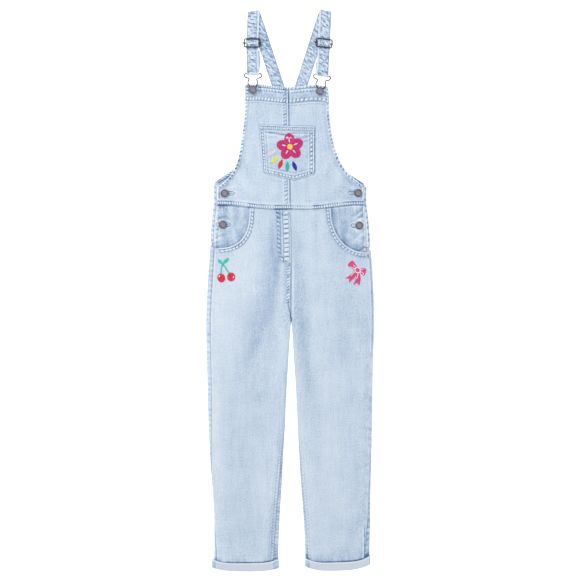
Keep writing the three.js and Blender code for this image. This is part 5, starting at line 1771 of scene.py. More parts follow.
def mock_fly():
    straight = FLY["straight"]
    last = lerp(straight, FLY["foot"], 0.985)
    turn = straight - (straight - last) * np.sin(np.linspace(1, 0, 38) * np.pi / 2)
    y = np.concatenate([[last - 0.2], turn, lerp(straight, FLY["top"], steps(80, 0.6))[2:]])[:, None]
    share = steps(FLY["width"], 0.6)[None, :]
    middle = fly_form(share, y)
    x = middle[..., 0]
    inwards = centre_seam(y) - x
    from_left = share * (middle[:, -1:, 0] - middle[:, :1, 0])
    column = inwards - 10.6
    bars = bars_of(y + 0.12 * column, 9.0, 163) * ramp(5.4, 3.8, np.abs(column)) * ramp(54, 62, y)
    small_bars = waver(y, 3.2, 165) * bump(column, 5.0)
    outer = chain(y, from_left - 5.3, 8.7, 3.4, 162, 0.5)
    smudge = bump(y - 151, 7) * ramp(1.0, 3.0, inwards)
    wash = (
        -0.09
        + 0.4 * bars
        + 0.12 * small_bars
        + 0.36 * outer
        - 0.26 * bump(from_left - 6, 4.6)
        - 0.16 * bump(np.abs(from_left - 5.3) - 3.4, 0.8)
        + lines(inwards, (0.9, 1.2, -0.36), (2.4, 0.9, 0.16), (4.4, 0.9, -0.2))
        + lines(inwards, (16.4, 1.0, -0.24), (19.0, 1.2, 0.12))
        # The dark line just under the waist band: painted shadow of its edge.
        - 0.9 * bump(WAIST_Y - y - 0.5, 1.2)
        + 0.2 * smudge * (lumps(x, y, 3, 3, 166) - 1)
        + 0.3 * bump(WAIST_Y - y - 3.0, 1.2) * bump(x + 4, 9)
        + 0.07 * lumps(x, y, 4, 4, 164)
    )
    relief = 0.45 * bars + 0.1 * small_bars + 0.36 * outer - 0.25 * bump(inwards - 16.4, 1.4)
    relief = relief - PRESSED * ramp(1.6, 0, from_left) - 0.4 * ramp(2.0, 1.0, inwards)
    rests_on = ["denim_front_leg_left"]
    cloth("mock_fly", middle, relief, wash, "front", "trim_denim", rests_on=rests_on, crisp=0.5)


mock_fly()

# %% [markdown]
# ## Turn-ups
# Each hem is folded up once, so the wrong side of the denim shows: paler and greyer, with the seam
# allowances standing as two bluer strips. It is a sleeve round the leg's end, a closed ring with a
# rounded top edge. A ring needs no borders at its sides, only between its outer and inner faces.


def cuff_loop(side, inset, height, bottom, share, count=96):
    """Points round the flattened sleeve, a share of the way from its top edge to its foot."""
    left, right = sorted((CUFF[side]["outer"], CUFF[side]["inner"]))
    left, right = left + inset, right - inset
    radius = height / 2
    straight, bend = right - left - 2 * radius, np.pi * radius
    corner = np.linspace(0, 1, 13)
    s = np.concatenate(
        [
            np.linspace(0, 1, count) * straight,
            straight + corner * bend,
            straight + bend + np.linspace(0, 1, 40) * straight,
            2 * straight + bend + corner[:-1] * bend,
        ]
    )
    s = np.unique(s)
    first = np.clip((s - straight) / radius, 0, np.pi)
    second = np.clip((s - 2 * straight - bend) / radius, 0, np.pi)
    x = left + radius + np.clip(s, 0, straight) + radius * np.sin(first)
    x = x - np.clip(s - straight - bend, 0, straight) - radius * np.sin(second)
    z = bottom + radius + radius * np.cos(first) * (s <= 2 * straight + bend)
    z = np.where(s > 2 * straight + bend, bottom + radius - radius * np.cos(second), z)
    return points_at(x, lerp(cuff_edge(side, x, "top"), cuff_edge(side, x, "foot"), share), z)


def ring_faces(count, around):
    """Quads of a closed ring whose loops follow each other outside, then inside, back to the first."""
    j, i = np.meshgrid(np.arange(count), np.arange(around), indexing="ij")
    here, following = j * around, (j + 1) % count * around
    beside = (i + 1) % around
    return np.stack([here + i, following + i, following + beside, here + beside], axis=-1).reshape(-1, 4)


print("points of a loop:", len(cuff_loop("left", 0.0, LEG_HEIGHT, 0.0, 0.5)))

# %% Turn-ups


def cuff(side):
    height = LEG_HEIGHT + 2 * LAYER
    flat = [(v, 0.0) for v in (0.02, *np.linspace(0.07, 0.93, 16), 0.98)]
    outside = [(0.0, 0.25), *flat, (1.0, 0.25)]
    behind = [0.99, 0.5, 0.01]
    loops = [cuff_loop(side, drop, height - 2 * drop, drop, v) for v, drop in outside]
    loops = np.stack(loops + [cuff_loop(side, CLOTH, height - 2 * CLOTH, CLOTH, v) for v in behind])
    v = np.array([v for v, _ in outside] + behind)[:, None]
    x = loops[..., 0]
    from_outer, from_inner = np.abs(x - CUFF[side]["outer"]), np.abs(x - CUFF[side]["inner"])
    outer_wide, inner_wide = (9.0, 13.0) if side == "left" else (3.0, 11.0)
    outer_strip = ramp(outer_wide + 0.8, outer_wide - 0.8, from_outer)
    strip = np.maximum(outer_strip, ramp(inner_wide + 0.8, inner_wide - 0.8, from_inner))
    strip_line = bump(from_inner - inner_wide - 0.6, 0.8) + bump(from_outer - outer_wide - 0.6, 0.8)
    seam_line = bump(from_inner - inner_wide + 4.4, 0.9)
    if side == "left":
        seam_line = seam_line + bump(from_outer - outer_wide + 4.0, 0.9)
    top_edge = bump(v - 0.09, 0.07)
    relief = 0.3 * strip + 0.12 * lumps(x, v * 20, 16, 9, 172) + 0.25 * bump(v - 0.06, 0.05)
    facing_up = loops[..., 2] > height * 0.6
    loops[: len(outside), :, 2] += (relief * facing_up)[: len(outside)]
    wash = (
        0.06
        - 0.2 * strip
        + 0.1 * waver(v * 18 + 0.4 * x, 2.4, 171 + SIGN[side]) * strip
        - 0.22 * seam_line
        + 0.75 * top_edge
        + 0.3 * strip_line
        + 0.06 * lumps(x, v * 20, 14, 12, 173)
        - 0.12 * ramp(0.7, 1.0, v)
    )
    weft = 0.8 - 0.72 * strip - 0.8 * top_edge - 0.5 * strip_line
    inside = np.clip(weft - 0.25 * ramp(0.6, 1.0, v), 0, 1)
    inside[len(outside) :] = 0.5
    quads, finish = ring_faces(*loops.shape[:2]), MATERIAL["wrong_side"]
    piece = mesh_object(f"denim_cuff_{side}", loops.reshape(-1, 3), quads, finish, wash=wash, inside=inside)
    declare(piece, f"cuff_{side}")


for side in SIGN:
    cuff(side)

# %% [markdown]
# ## Shoulder straps
# A strap is denim folded and sewn double. It comes from the back bib, folds over at the shoulder, runs
# down through the slider and round the clasp's bar, and returns behind itself. Each row of the grid is a
# straight line across the strap, so the whole path is a short list of heights and directions.

# %% Measures of the straps
STRAP = {
    "left": {
        "fold": (-72.6, 556.3),
        "front_lean": 1.7,
        "back_lean": 18.2,
        "slider": (-75.6, 493.3, 0.0),
        "clasp_tilt": -1.0,
        "return_top": 479.0,
    },
    "right": {
        "fold": (70.6, 557.75),
        "front_lean": 3.1,
        "back_lean": -17.9,
        "slider": (68.0, 493.0, -7.5),
        "clasp_tilt": -9.0,
        "return_top": 455.0,
    },
}
# How the blotches of each strap slant, in radians: down to the right
FRONT_STREAK, BACK_STREAK = {"left": -0.25, "right": -0.8}, {"left": -0.6, "right": -0.75}
SHOULDER_LOW, SHOULDER_HIGH, SHOULDER_LAP = STRAP_WALL / 2, STRAP_WALL * 1.5 + GAP, 1.5
WIRE = 1.0  # radius of a clasp's wire
BAR_SPREAD = 8.1  # from the slider's bar to the frame above and below it
CLASP_BAR_Z, CLASP_EYE = 3.1, -32.9  # height of a clasp's bar, and the button's place seen from it


def direction(degrees):
    return np.array([np.cos(np.radians(degrees)), np.sin(np.radians(degrees)), 0.0])


def strap_angles(side):
    """Directions of the front stretch, the back stretch and the fold between them, in degrees."""
    front, back = 90 - STRAP[side]["front_lean"], -90 + STRAP[side]["back_lean"]
    return front, back, (front + back) / 2


def clasp_bar(side):
    tilt = np.radians(STRAP[side]["clasp_tilt"])
    x, y = BIB_BUTTON[side]
    return np.array([x + CLASP_EYE * np.sin(tilt), y - CLASP_EYE * np.cos(tilt), CLASP_BAR_Z])


print("clasp bars at y:", [round(float(clasp_bar(side)[1]), 1) for side in SIGN])

# %% Rows across a strap


def strap_grid(centres, angles, axis, pitch=0.9):
    """Rows across a strap: centre points and the plan angle of each row, refined to an even pitch."""
    centres, angles = np.array(centres), np.array(angles)
    s = line_length(centres)
    counts = [max(int(np.ceil(length / pitch)), 1) for length in np.diff(s)]
    parts = [np.linspace(a, b, count, endpoint=False) for a, b, count in zip(s[:-1], s[1:], counts)]
    fine = np.sort(np.concatenate(parts + [[s[-1], 0.35, s[-1] - 0.35]]))
    rows = {"s": s, **{key: centres[:, i] for i, key in enumerate("xyz")}, "a": angles}
    middle = points_at(*[read(rows, "s", fine, key) for key in "xyz"])
    turn = np.radians(read(rows, "s", fine, "a", True))
    half = STRAP_WIDTH / 2 / np.abs(np.cos(turn - np.radians(axis - 90)))
    across = steps(STRAP_WIDTH, 0.75) * 2 - 1
    way = points_at(np.cos(turn), np.sin(turn), 0.0)
    grid = middle[:, None] + way[:, None] * half[:, None, None] * across[None, :, None]
    return grid, fine[:, None], across[None, :]


print("strap rows ready")

# %% Look of a strap


def strap_look(grid, s, across, seed, streak, strip=0):
    """Wash and relief of a strap: stitched edges and slanting blotches. The strip, if any, is the folded
    edge on one side, which the wash left pale."""
    x, y = grid[..., 0], grid[..., 1]
    edge = (1 - np.abs(across)) * STRAP_WIDTH / 2
    from_strip = (1 - across * strip) * STRAP_WIDTH / 2 if strip else 99.0
    with_streak = x * np.cos(streak) + y * np.sin(streak)
    over_streak = y * np.cos(streak) - x * np.sin(streak)
    blotch = lumps(with_streak, over_streak, 6.5, 2.4, seed + 2)
    blotch = blotch + 0.8 * lumps(with_streak, over_streak, 4, 1.6, seed + 3)
    body = ramp(1.0, 2.6, edge) * ramp(4.4, 5.6, from_strip)
    blotch = (blotch - 0.7 * blurred(blotch, 5)) * body
    blotch = (blotch - blotch.mean()) / blotch.std() * body
    beads = waver(s + 1.8 * across, 3.1, seed) * bump(edge - 1.4, 1.2)
    outline = bump(edge - 1.6, 0.8) * (from_strip > 5)
    fold = bump(from_strip - 4.9, 0.8)
    wash = 0.23 * blotch + 0.18 * beads - 0.4 * outline + 0.2 * bump(edge - 0.3, 0.6)
    wash = wash - 0.34 * fold + 0.3 * ramp(4.6, 3.4, from_strip)
    return wash, 0.14 * blotch + 0.15 * beads - 0.12 * outline - 0.2 * fold


print("strap look ready")

# %% Back stretch of the straps


def strap_back(side):
    _, back, fold = strap_angles(side)
    start = np.array([*STRAP[side]["fold"], 0.0])
    along = direction(back)
    on_bib = CLOTH + GAP + STRAP_WALL / 2
    heights = [(545, SHOULDER_LOW), (470, SHOULDER_LOW), (408, SHOULDER_LOW), (404, SHOULDER_LOW + 0.2)]
    heights += [(397, 2.2), (393, on_bib), (380, on_bib)]
    first = start - direction(fold + 90) * (SHOULDER_LAP + GAP)
    centres, angles = [[first[0], first[1], SHOULDER_LOW]], [fold]
    for y, z in heights:
        point = start + along * (y - start[1]) / along[1]
        centres.append([point[0], point[1], z])
        angles.append(back + 90)
    grid, s, across = strap_grid(centres, angles, back)
    wash, relief = strap_look(grid, s, across, 181 + SIGN[side], BACK_STREAK[side])
    shade = -0.02 - 0.16 * bump(s - 60, 30) if side == "left" else 0.03 - 0.05 * bump(s - 60, 30)
    tie = {"held": "folded", "rests_on": ["denim_back_bib"], "wall": STRAP_WALL}
    cloth(f"strap_back_{side}", grid, relief, wash + shade, "strap_back", "strap_denim", **tie)


print("lean of the back stretches:", [STRAP[side]["back_lean"] for side in SIGN], "degrees")

# %% Path of the front stretch
# Height of the strap's middle over and beside the slider's bar
SLIDER_WEAVE = [(16, 3.15), (BAR_SPREAD, 3.15), (5, 3.95), (2.6, 5.5), (0, 6.1)]
SLIDER_WEAVE += [(-2.6, 5.5), (-5, 3.95), (-BAR_SPREAD, 3.2), (-16, 3.3)]


def front_path(side):
    """Centres and angles of the rows, from the shoulder fold to the end behind the strap."""
    front, _, fold = strap_angles(side)
    fold_x, fold_y = STRAP[side]["fold"]
    slide_x, slide_y, slide_turn = STRAP[side]["slider"]
    tilt, bar = STRAP[side]["clasp_tilt"], clasp_bar(side)
    bar_radius = WIRE + GAP + STRAP_WALL / 2
    up_fold, over_bar = direction(fold + 90), direction(tilt - 90)
    low = np.array([fold_x, fold_y, SHOULDER_LOW])
    path = [(low - up_fold * SHOULDER_LAP, fold)]

    def bend(centre, way, radius, first, last, count, turn):
        """Rows round a centre, between two angles up from the way given."""
        for a in np.radians(np.linspace(first, last, count)):
            path.append((centre + way * radius * np.cos(a) + np.array([0, 0, radius * np.sin(a)]), turn))

    def add(y, z, turn, shift=0.0):
        """One row at y, on the straight line above the slider or the one below it."""
        if y > slide_y:
            x = lerp(slide_x, fold_x, (y - slide_y) / (fold_y - slide_y))
        else:
            x = lerp(bar[0], slide_x, (y - bar[1]) / (slide_y - bar[1]))
        path.append((np.array([x + shift, y, z]), turn))

    fold_radius = (SHOULDER_HIGH - SHOULDER_LOW) / 2
    bend(low + np.array([0, 0, fold_radius]), up_fold, fold_radius, -90, 90, 9, fold)
    add(fold_y - 14, SHOULDER_HIGH + 0.05, front - 90)
    add(slide_y + 30, SHOULDER_HIGH + 0.1, front - 90)
    for from_bar, z in SLIDER_WEAVE:
        add(slide_y + from_bar, z, slide_turn)
    add(bar[1] + 26, 4.3, front - 90)
    add(bar[1] + 8, bar[2] + bar_radius - 0.05, tilt)
    bend(bar, over_bar, bar_radius, 90, -90, 11, tilt)
    aside = -2.6 * SIGN[side]
    add(bar[1] + 8, SHOULDER_LOW, front - 90, aside * 0.4)
    add(bar[1] + 20, SHOULDER_LOW, front - 90, aside)
    add(STRAP[side]["return_top"], SHOULDER_LOW, front - 90, aside)
    return [centre for centre, _ in path], [turn for _, turn in path]


print("rows given for a front strap:", len(front_path("left")[0]))

# %% Front stretch of the straps


def strap_front(side):
    out = SIGN[side]
    grid, s, across = strap_grid(*front_path(side), strap_angles(side)[0])
    wash, relief = strap_look(grid, s, across, 191 + out, FRONT_STREAK[side], -out)
    y, z = grid[..., 1], grid[..., 2]
    slide_y, bar_y = STRAP[side]["slider"][1], clasp_bar(side)[1]
    behind = (z < 2.5) & (y < slide_y)
    # Darker just above the clasp's bar and where the slider's frame crosses the strap: painted shadow of the
    # metal.
    wash = wash + 0.45 * behind + lines(y - bar_y, (-2, 3, 0.3), (5, 3, -0.3))
    wash = wash + lines(y - slide_y, (BAR_SPREAD, 4, -0.25), (-BAR_SPREAD, 4, -0.25))
    tie = {"held": "folded", "rests_on": [f"denim_strap_back_{side}"]}
    cloth(f"strap_front_{side}", grid, relief, wash, "strap", "strap_denim", wall=STRAP_WALL, **tie)


for side in SIGN:
    strap_back(side)
    strap_front(side)

# %% [markdown]
# ## Metal fittings
# The clasps are one bent wire each, the sliders a cast frame with a fixed bar, and the buttons pressed
# caps on a shank. A wire is swept along a smooth line, a cap is turned from its profile. A number on
# each fitting marks the high spots that rub against hands and the tops that face the lamps, and there
# the dark finish is painted pale: partly wear, partly painted highlight.

# %% Smooth lines


def smooth_line(points, count):
    """An even, smooth line through points."""
    points = np.array(points, float)
    rows = {"s": line_length(points), **{key: points[:, i] for i, key in enumerate("xyz")}}
    s = np.linspace(0, rows["s"][-1], count)
    return points_at(*[read(rows, "s", s, key) for key in "xyz"])


def round_points(sides):
    """Cosines and sines of the points round a circle."""
    a = np.linspace(0, 2 * np.pi, sides, endpoint=False)
    return np.cos(a), np.sin(a)


def turned_in_plan(x, y, angle):
    """A point or points turned round the origin by an angle in radians."""
    c, s = np.cos(angle), np.sin(angle)
    return x * c - y * s, x * s + y * c


def place_points(points, x, y, z=0.0, degrees=0.0):
    along, over = turned_in_plan(points[:, 0], points[:, 1], np.radians(degrees))
    return points_at(x + along, y + over, points[:, 2] + z)


print("a quarter turn of (1, 0):", np.round(turned_in_plan(1.0, 0.0, np.pi / 2), 3))

# %% Wires


def tube_faces(rings, sides, closed=False):
    """Outward quads of a round body, ring by ring: a closed loop, or with a cover on each end."""
    if closed:
        return ring_faces(rings, sides)
    quads = ring_faces(rings, sides)[: (rings - 1) * sides]
    k = np.arange(sides // 2 - 1)
    cover = np.stack([k, k + 1, sides - 2 - k, sides - 1 - k], axis=1)
    return np.concatenate([quads, cover, cover[:, ::-1] + (rings - 1) * sides])


def dome(inner, end):
    """Two rings that round off a wire past its end ring."""
    centre = end.mean(axis=0)
    way = unit(centre - inner.mean(axis=0))
    radius = np.linalg.norm(end[0] - centre)
    steps_out = ((0.7, 0.6), (0.05, 0.85))
    return np.stack([centre + (end - centre) * size + way * radius * far for size, far in steps_out])


def sweep(line, radius, closed=False, sides=14, flat=1.0):
    """Points and faces of a round wire along a line, its height scaled by flat, its open ends rounded."""
    line = np.asarray(line, float)
    if closed:
        ahead = unit(np.roll(line, -1, axis=0) - np.roll(line, 1, axis=0))
    else:
        ahead = unit(np.gradient(line, axis=0))
    aside = unit(np.cross(ahead, [0, 0, 1.0]))
    above = np.cross(aside, ahead)
    c, s = round_points(sides)
    round_line = aside[:, None] * c[None, :, None] + above[:, None] * s[None, :, None] * flat
    points = line[:, None] + round_line * radius
    if not closed:
        points = np.concatenate([dome(points[1], points[0])[::-1], points, dome(points[-2], points[-1])])
    # The third result is pale on the wire's top and dark underneath: painted highlight.
    return points.reshape(-1, 3), tube_faces(len(points), sides, closed), np.tile(0.5 + 0.5 * s, len(points))


print("faces of a short tube:", len(tube_faces(3, 8)))

# %% Clasps
CLASP_RISE = 2.9  # from its bar up to the hook round the button
CLASP_HALF = table(
    "x y z",
    (0.5, 0, 0), (7, 0, 0), (13.6, 0, 0), (16.4, -1.4, 0), (17, -4.6, 0.3),
    (15, -8, 0.8), (10.6, -9.2, 1.2), (7.4, -12, 1.8), (9.2, -15.6, 2.4), (9.8, -19.4, 2.9),
    (8.2, -23.4, 2.9), (5.4, -27, 2.9), (4, -31, 2.9), (3.5, -34.4, 2.9), (2, -36.4, 2.9),
)


def clasp(side):
    half = points_at(*CLASP_HALF.values())
    line = np.concatenate([half, [[0, -37, CLASP_RISE]], (half * [-1, 1, 1])[::-1]])
    points, quads, polish = sweep(smooth_line(line, 190), WIRE)
    points = place_points(points, *clasp_bar(side), STRAP[side]["clasp_tilt"])
    piece = mesh_object(f"wire_clasp_{side}", points, quads, MATERIAL["wire"], polish=polish * 0.6)
    declare(piece, f"clasp_{side}")


print("points given for half a clasp:", len(CLASP_HALF["x"]))

# %% Sliders
SLIDER_WIDE, SLIDER_TALL, SLIDER_WIRE, SLIDER_CORNER = 33.6, 18.6, 1.2, 2.6
FRAME_Z, BAR_Z, BAR_END = 5.6, 3.6, 16.9
POST_X, POST_WIRE = 15.9, 1.15  # the posts join the bar to the frame
LUG_X, LUG_Z, LUG_WIRE = np.array([16.2, 16.9, 17.3]), 5.2, 1.5  # swellings at the frame's two ends


def rounded_rectangle(width, height, radius, count=8):
    corners = []
    for sx, sy, start in [(1, 1, 0), (-1, 1, 90), (-1, -1, 180), (1, -1, 270)]:
        a = np.radians(np.linspace(start, start + 90, count))
        x, y = sx * (width / 2 - radius), sy * (height / 2 - radius)
        corners.append(points_at(x + radius * np.cos(a), y + radius * np.sin(a), 0.0))
    return np.concatenate(corners)


def smooth_loop(points, pitch=1.0):
    """A closed line with points at an even pitch."""
    closed = np.concatenate([points, points[:1]])
    s = line_length(closed)
    at = np.linspace(0, s[-1], int(s[-1] / pitch), endpoint=False)
    return points_at(*[np.interp(at, s, closed[:, i]) for i in range(3)])


def join_parts(parts):
    """Several (points, quads, marks) sets as one."""
    points, quads, marks = zip(*parts)
    bases = np.cumsum([0] + [len(part) for part in points[:-1]])
    quads = [part + base for part, base in zip(quads, bases)]
    return np.concatenate(points), np.concatenate(quads), np.concatenate(marks)


def slider(side):
    x, y, turn = STRAP[side]["slider"]
    wide, tall = SLIDER_WIDE - 2 * SLIDER_WIRE, SLIDER_TALL - 2 * SLIDER_WIRE
    loop = smooth_loop(rounded_rectangle(wide, tall, SLIDER_CORNER))
    bar = points_at(np.linspace(-BAR_END, BAR_END, 40), 0.0, BAR_Z)
    parts = [sweep(loop + [0, 0, FRAME_Z], SLIDER_WIRE, closed=True), sweep(bar, SLIDER_WIRE)]
    for end in (-1, 1):
        post = points_at(end * POST_X + 0.02 * np.arange(6), 0.0, np.linspace(BAR_Z, FRAME_Z, 6))
        parts.append(sweep(post, POST_WIRE))
    for end in (-1, 1):
        parts.append(sweep(points_at(end * LUG_X, 0.0, LUG_Z), LUG_WIRE))
    points, quads, polish = join_parts(parts)
    points = place_points(points, x, y, 0.0, turn)
    piece = mesh_object(f"cast_slider_{side}", points, quads, MATERIAL["metal"], polish=polish * 0.55)
    declare(piece, f"slider_{side}")


print("slider:", SLIDER_WIDE, "x", SLIDER_TALL, "mm")

# %% Shape of a button
CAP_TALL, SHANK_RADIUS, TACK_RADIUS = 2.6, 2.5, 4.5


def turned(profile, segments=48):
    """A body turned from a profile of (radius, height, polish and highlight) rows, from the axis back to the
    axis.
    """
    profile = np.array(profile, float)
    rows = {"s": line_length(profile[:, :2]), "r": profile[:, 0], "z": profile[:, 1], "p": profile[:, 2]}
    s = np.unique(np.concatenate([rows["s"], np.linspace(0, rows["s"][-1], 60)]))
    r, z, polish = [read(rows, "s", s, key, True) for key in "rzp"]
    r = np.maximum(r, 0.02)[:, None]
    c, sine = round_points(segments)
    points = points_at(r * c, r * sine, z[:, None])
    return points.reshape(-1, 3), tube_faces(len(s), segments)[:, ::-1], np.repeat(polish, segments)


def button(node, x, y, foot, head_z, tack=False):
    """A shank button: domed cap with a raised rim, a ring and a sunk middle."""
    top = head_z + CAP_TALL
    shank = [(0, foot, 0.1), (SHANK_RADIUS, foot, 0.1)]
    if tack:
        shank = [(0, foot, 0.1), (TACK_RADIUS, foot, 0.1), (TACK_RADIUS, foot + 1, 0.2)]
        shank.append((SHANK_RADIUS, foot + 1, 0.1))
    # The third number of each row makes the cap pale on its rim and dome: rubbed wear and painted highlight.
    profile = shank + [
        (SHANK_RADIUS, head_z, 0.0),
        (7.0, head_z, 0.0),
        (7.8, head_z + 0.4, 0.0),
        (8.0, head_z + 1.0, 0.05),
        (7.85, top - 0.55, 0.15),
        (7.4, top - 0.12, 0.5),
        (6.9, top, 0.6),
        (6.4, top - 0.1, 0.3),
        (6.0, top - 0.42, 0.05),
        (5.5, top - 0.5, 0.3),
        (4.4, top - 0.36, 0.7),
        (3.2, top - 0.34, 0.85),
        (2.7, top - 0.5, 0.45),
        (2.2, top - 0.52, 0.6),
        (0.9, top - 0.4, 0.9),
        (0, top - 0.38, 0.9),
    ]
    points, quads, polish = turned(profile)
    points = place_points(points, x, y)
    piece = mesh_object(f"cap_{node}", points, quads, MATERIAL["button"], polish=polish * 0.8)
    declare(piece, node)


print("points of a small turned cap:", len(turned([(0, 0, 0), (1, 0, 0), (0, 1, 0)])[0]))

# %% Clasps, sliders and buttons in their places
for side, (x, y) in BIB_BUTTON.items():
    clasp(side)
    slider(side)
    foot = float(bib_middle(x, y)) - CLOTH / 2 - GAP - 1
    button(f"bib_button_{side}", x, y, foot, CLASP_BAR_Z + CLASP_RISE + WIRE + GAP, tack=True)
for (level, side), (x, y, *_) in SIDE_BUTTONS.items():
    cloth_top = float(bib_middle(x, y)) + CLOTH / 2 if level == "upper" else 3 * LAYER - GAP
    button(f"side_button_{level}_{side}", x, y, LAYER, cloth_top + 0.4)
print("fittings:", 3 * len(BIB_BUTTON) + len(SIDE_BUTTONS))

# %% [markdown]
# ## The fork
# Four seams meet under the fly, and their allowances roll to the underside of the fork as one thick
# fold. It sits in the gap between the legs and is coloured deep blue as painted shadow in that gap. It
# is sewn on the left leg.

# %% Crotch fold


def crotch_fold():
    place = np.linspace(0, 1, 8)
    line = points_at(lerp(1.0, 2.3, place), lerp(-49.5, -62.5, place), lerp(5.3, 4.2, place))
    points, quads, _ = sweep(smooth_line(line, 24), 1.45, flat=0.8)
    # Deep blue all over: painted shadow in the gap at the fork.
    wash = np.full(len(points), -0.95)
    piece = mesh_object("denim_crotch_fold", points, quads, MATERIAL["front"], wash=wash, inside=0 * wash)
    declare(piece, None, sewn_on="denim_front_leg_left")


crotch_fold()
print("crotch fold made")

# %% [markdown]
# ## Thread
# Every seam is sewn with pale cotton. A stitch is a short spindle that dips into the cloth at both ends.
# Thousands of separate objects would be slow, so each kind of seam is one mesh: its spindles are all
# worked out together as arrays and joined.

# %% Spindles and rows of stitches
STITCH_PITCH, THREAD_RADIUS = 3.1, 0.3
STITCH_LENGTH = STITCH_PITCH * 0.72  # the rest is the gap to the next one


def spindles(starts, ends, radius, sides=6, sink=0.25):
    """Spindles from start to end points, their tips sunk a little."""
    starts, ends = np.asarray(starts, float), np.asarray(ends, float)
    ahead = unit(ends - starts)
    aside = unit(np.cross(ahead, [0, 0, 1.0]))
    above = np.cross(aside, ahead)
    c, s = round_points(sides)
    ring = (aside[:, None] * c[None, :, None] + above[:, None] * s[None, :, None]) * radius
    profile = [(0.0, 0.15, -sink), (0.16, 0.85, 0.0), (0.84, 0.85, 0.0), (1.0, 0.15, -sink)]
    rings = [lerp(starts, ends, t)[:, None] + [0, 0, drop] + ring * size for t, size, drop in profile]
    first = (np.arange(len(starts)) * len(profile) * sides)[:, None, None]
    quads = first + tube_faces(len(profile), sides)[None]
    return np.stack(rings, axis=1).reshape(-1, 3), quads.reshape(-1, 4)


def stitch_ends(line):
    """Start and end points of the stitches along a line."""
    s = line_length(line)
    starts = np.arange(0.6, s[-1] - STITCH_PITCH, STITCH_PITCH)
    places = (starts, starts + STITCH_LENGTH)
    return [points_at(*[np.interp(place, s, line[:, i]) for i in range(3)]) for place in places]


def sew(name, panel, rows):
    """One mesh with the stitches of several rows, sewn on a piece."""
    starts, ends = [np.concatenate(part) for part in zip(*[stitch_ends(row) for row in rows])]
    points, quads = spindles(starts, ends, THREAD_RADIUS)
    declare(mesh_object(name, points, quads, MATERIAL["thread"]), None, sewn_on=panel)
    print(f"{name}: {len(starts)} stitches")


# %% Stitches of the bib and the pocket mouths
RISE = CLOTH / 2 + 0.18  # thread lies this far above the middle of the cloth


def evenly(start, end, count=120):
    """Even values that a row runs through."""
    return np.linspace(start, end, count)


def pocket_rows():
    """Rows of the pocket: two along its foot, two down each side, two in its hem."""
    rows = [pocket_form(evenly(0.02, 0.98), up, LAYER + RISE) for up in (0.022, 0.085)]
    rows += [pocket_form(across, evenly(0.03, 0.9), LAYER + RISE) for across in (0.018, 0.082, 0.918, 0.982)]
    return rows + [pocket_form(evenly(0.015, 0.985), up, 2 * LAYER + RISE) for up in (0.916, 0.985)]


def band_rows(side):
    """Rows of a top band: four along it and one down its outer end."""
    top_y = BIB_EDGE[side]["y"].max()
    heights = [top_y - down for down in (3.0, 11.5, 21.5, 29.0)]
    rows = [bib_form(side, evenly(0.02, 0.98), height, LAYER + RISE) for height in heights]
    return rows + [bib_form(side, 0.965, evenly(top_y - 29, top_y - 3, 60), LAYER + RISE)]


for side in SIGN:
    y = evenly(209, BIB_EDGE[side]["y"].max() - BAND_HEIGHT - 2, 200)
    rows = [armhole_hem_form(side, y, inset, RISE) for inset in (1.1, 6.0)]
    sew(f"stitches_armhole_{side}", f"denim_armhole_hem_{side}", rows)
    turn = evenly(0.02, 0.95, 200)
    rows = [pocket_mouth_form(side, turn, margin, RISE) for margin in (2.7, 7.6)]
    sew(f"stitches_pocket_mouth_{side}", f"denim_pocket_mouth_{side}", rows)
    sew(f"stitches_bib_band_{side}", f"denim_bib_top_band_{side}", band_rows(side))
sew("stitches_pocket", "denim_bib_pocket", pocket_rows())
rows = [waist_form(evenly(-143, 146, 400), rise, RISE) for rise in (2.4, 9.6)]
sew("stitches_waist", "denim_waist_band", rows)

# %% Stitches of the straps and the legs


def strap_row(side, edge):
    """The row down one edge of a strap's back stretch."""
    back = strap_angles(side)[1]
    start, way = np.array([*STRAP[side]["fold"], 0.0]), direction(back)
    aside = direction(back + 90) * edge * (STRAP_WIDTH / 2 - 2.2)
    x, y, _ = (start + way * ((evenly(543, 412, 80) - start[1]) / way[1])[:, None] + aside).T
    return points_at(x, y, STRAP_WALL + 0.1)


def leg_row(side, from_seam, y_top, y_foot):
    """A row down a leg, at a distance from its inner seam."""
    y = evenly(y_top, y_foot, 300)
    tube = leg_tube(side, y)
    seam = tube["half"] - lerp(read(LEG_ROWS[side], "y", y, "in_seam"), tube["quarter"], tube["opened"])
    return leg_point(side, y, seam - from_seam, RISE)


def fly_row(from_seam, y_foot):
    return fly_form(1 - from_seam / FLY["width"], evenly(158, y_foot, 160), RISE)


for side in SIGN:
    rows = [strap_row(side, edge) for edge in (-1, 1)]
    sew(f"stitches_strap_back_{side}", f"denim_strap_back_{side}", rows)
rows = [leg_row("left", 3.0, 46, -60), leg_row("left", 9.5, 46, -60)]
rows += [leg_row(side, from_seam, -240, LEG_FOOT[side] + 18) for side in SIGN for from_seam in (1.6, 7.6)]
sew("stitches_legs", "denim_front_leg_left", rows)
rows = [fly_row(3.6, 54), fly_row(13.4, 54), fly_row(28.5, 52), fly_row(22.2, 52)]
sew("stitches_fly", "denim_mock_fly", rows)

# %% [markdown]
# ## Buttonholes and bartacks
# A buttonhole is a slit bound by close zigzag stitches. A bartack is a little block of them across the
# end of a seam. Both are short spindles side by side: round the slit they point outwards.

# %% Buttonholes


def surface_height(level, x, y):
    return bib_middle(x, y) + CLOTH / 2 if level == "upper" else 2 * LAYER + CLOTH + 0 * x


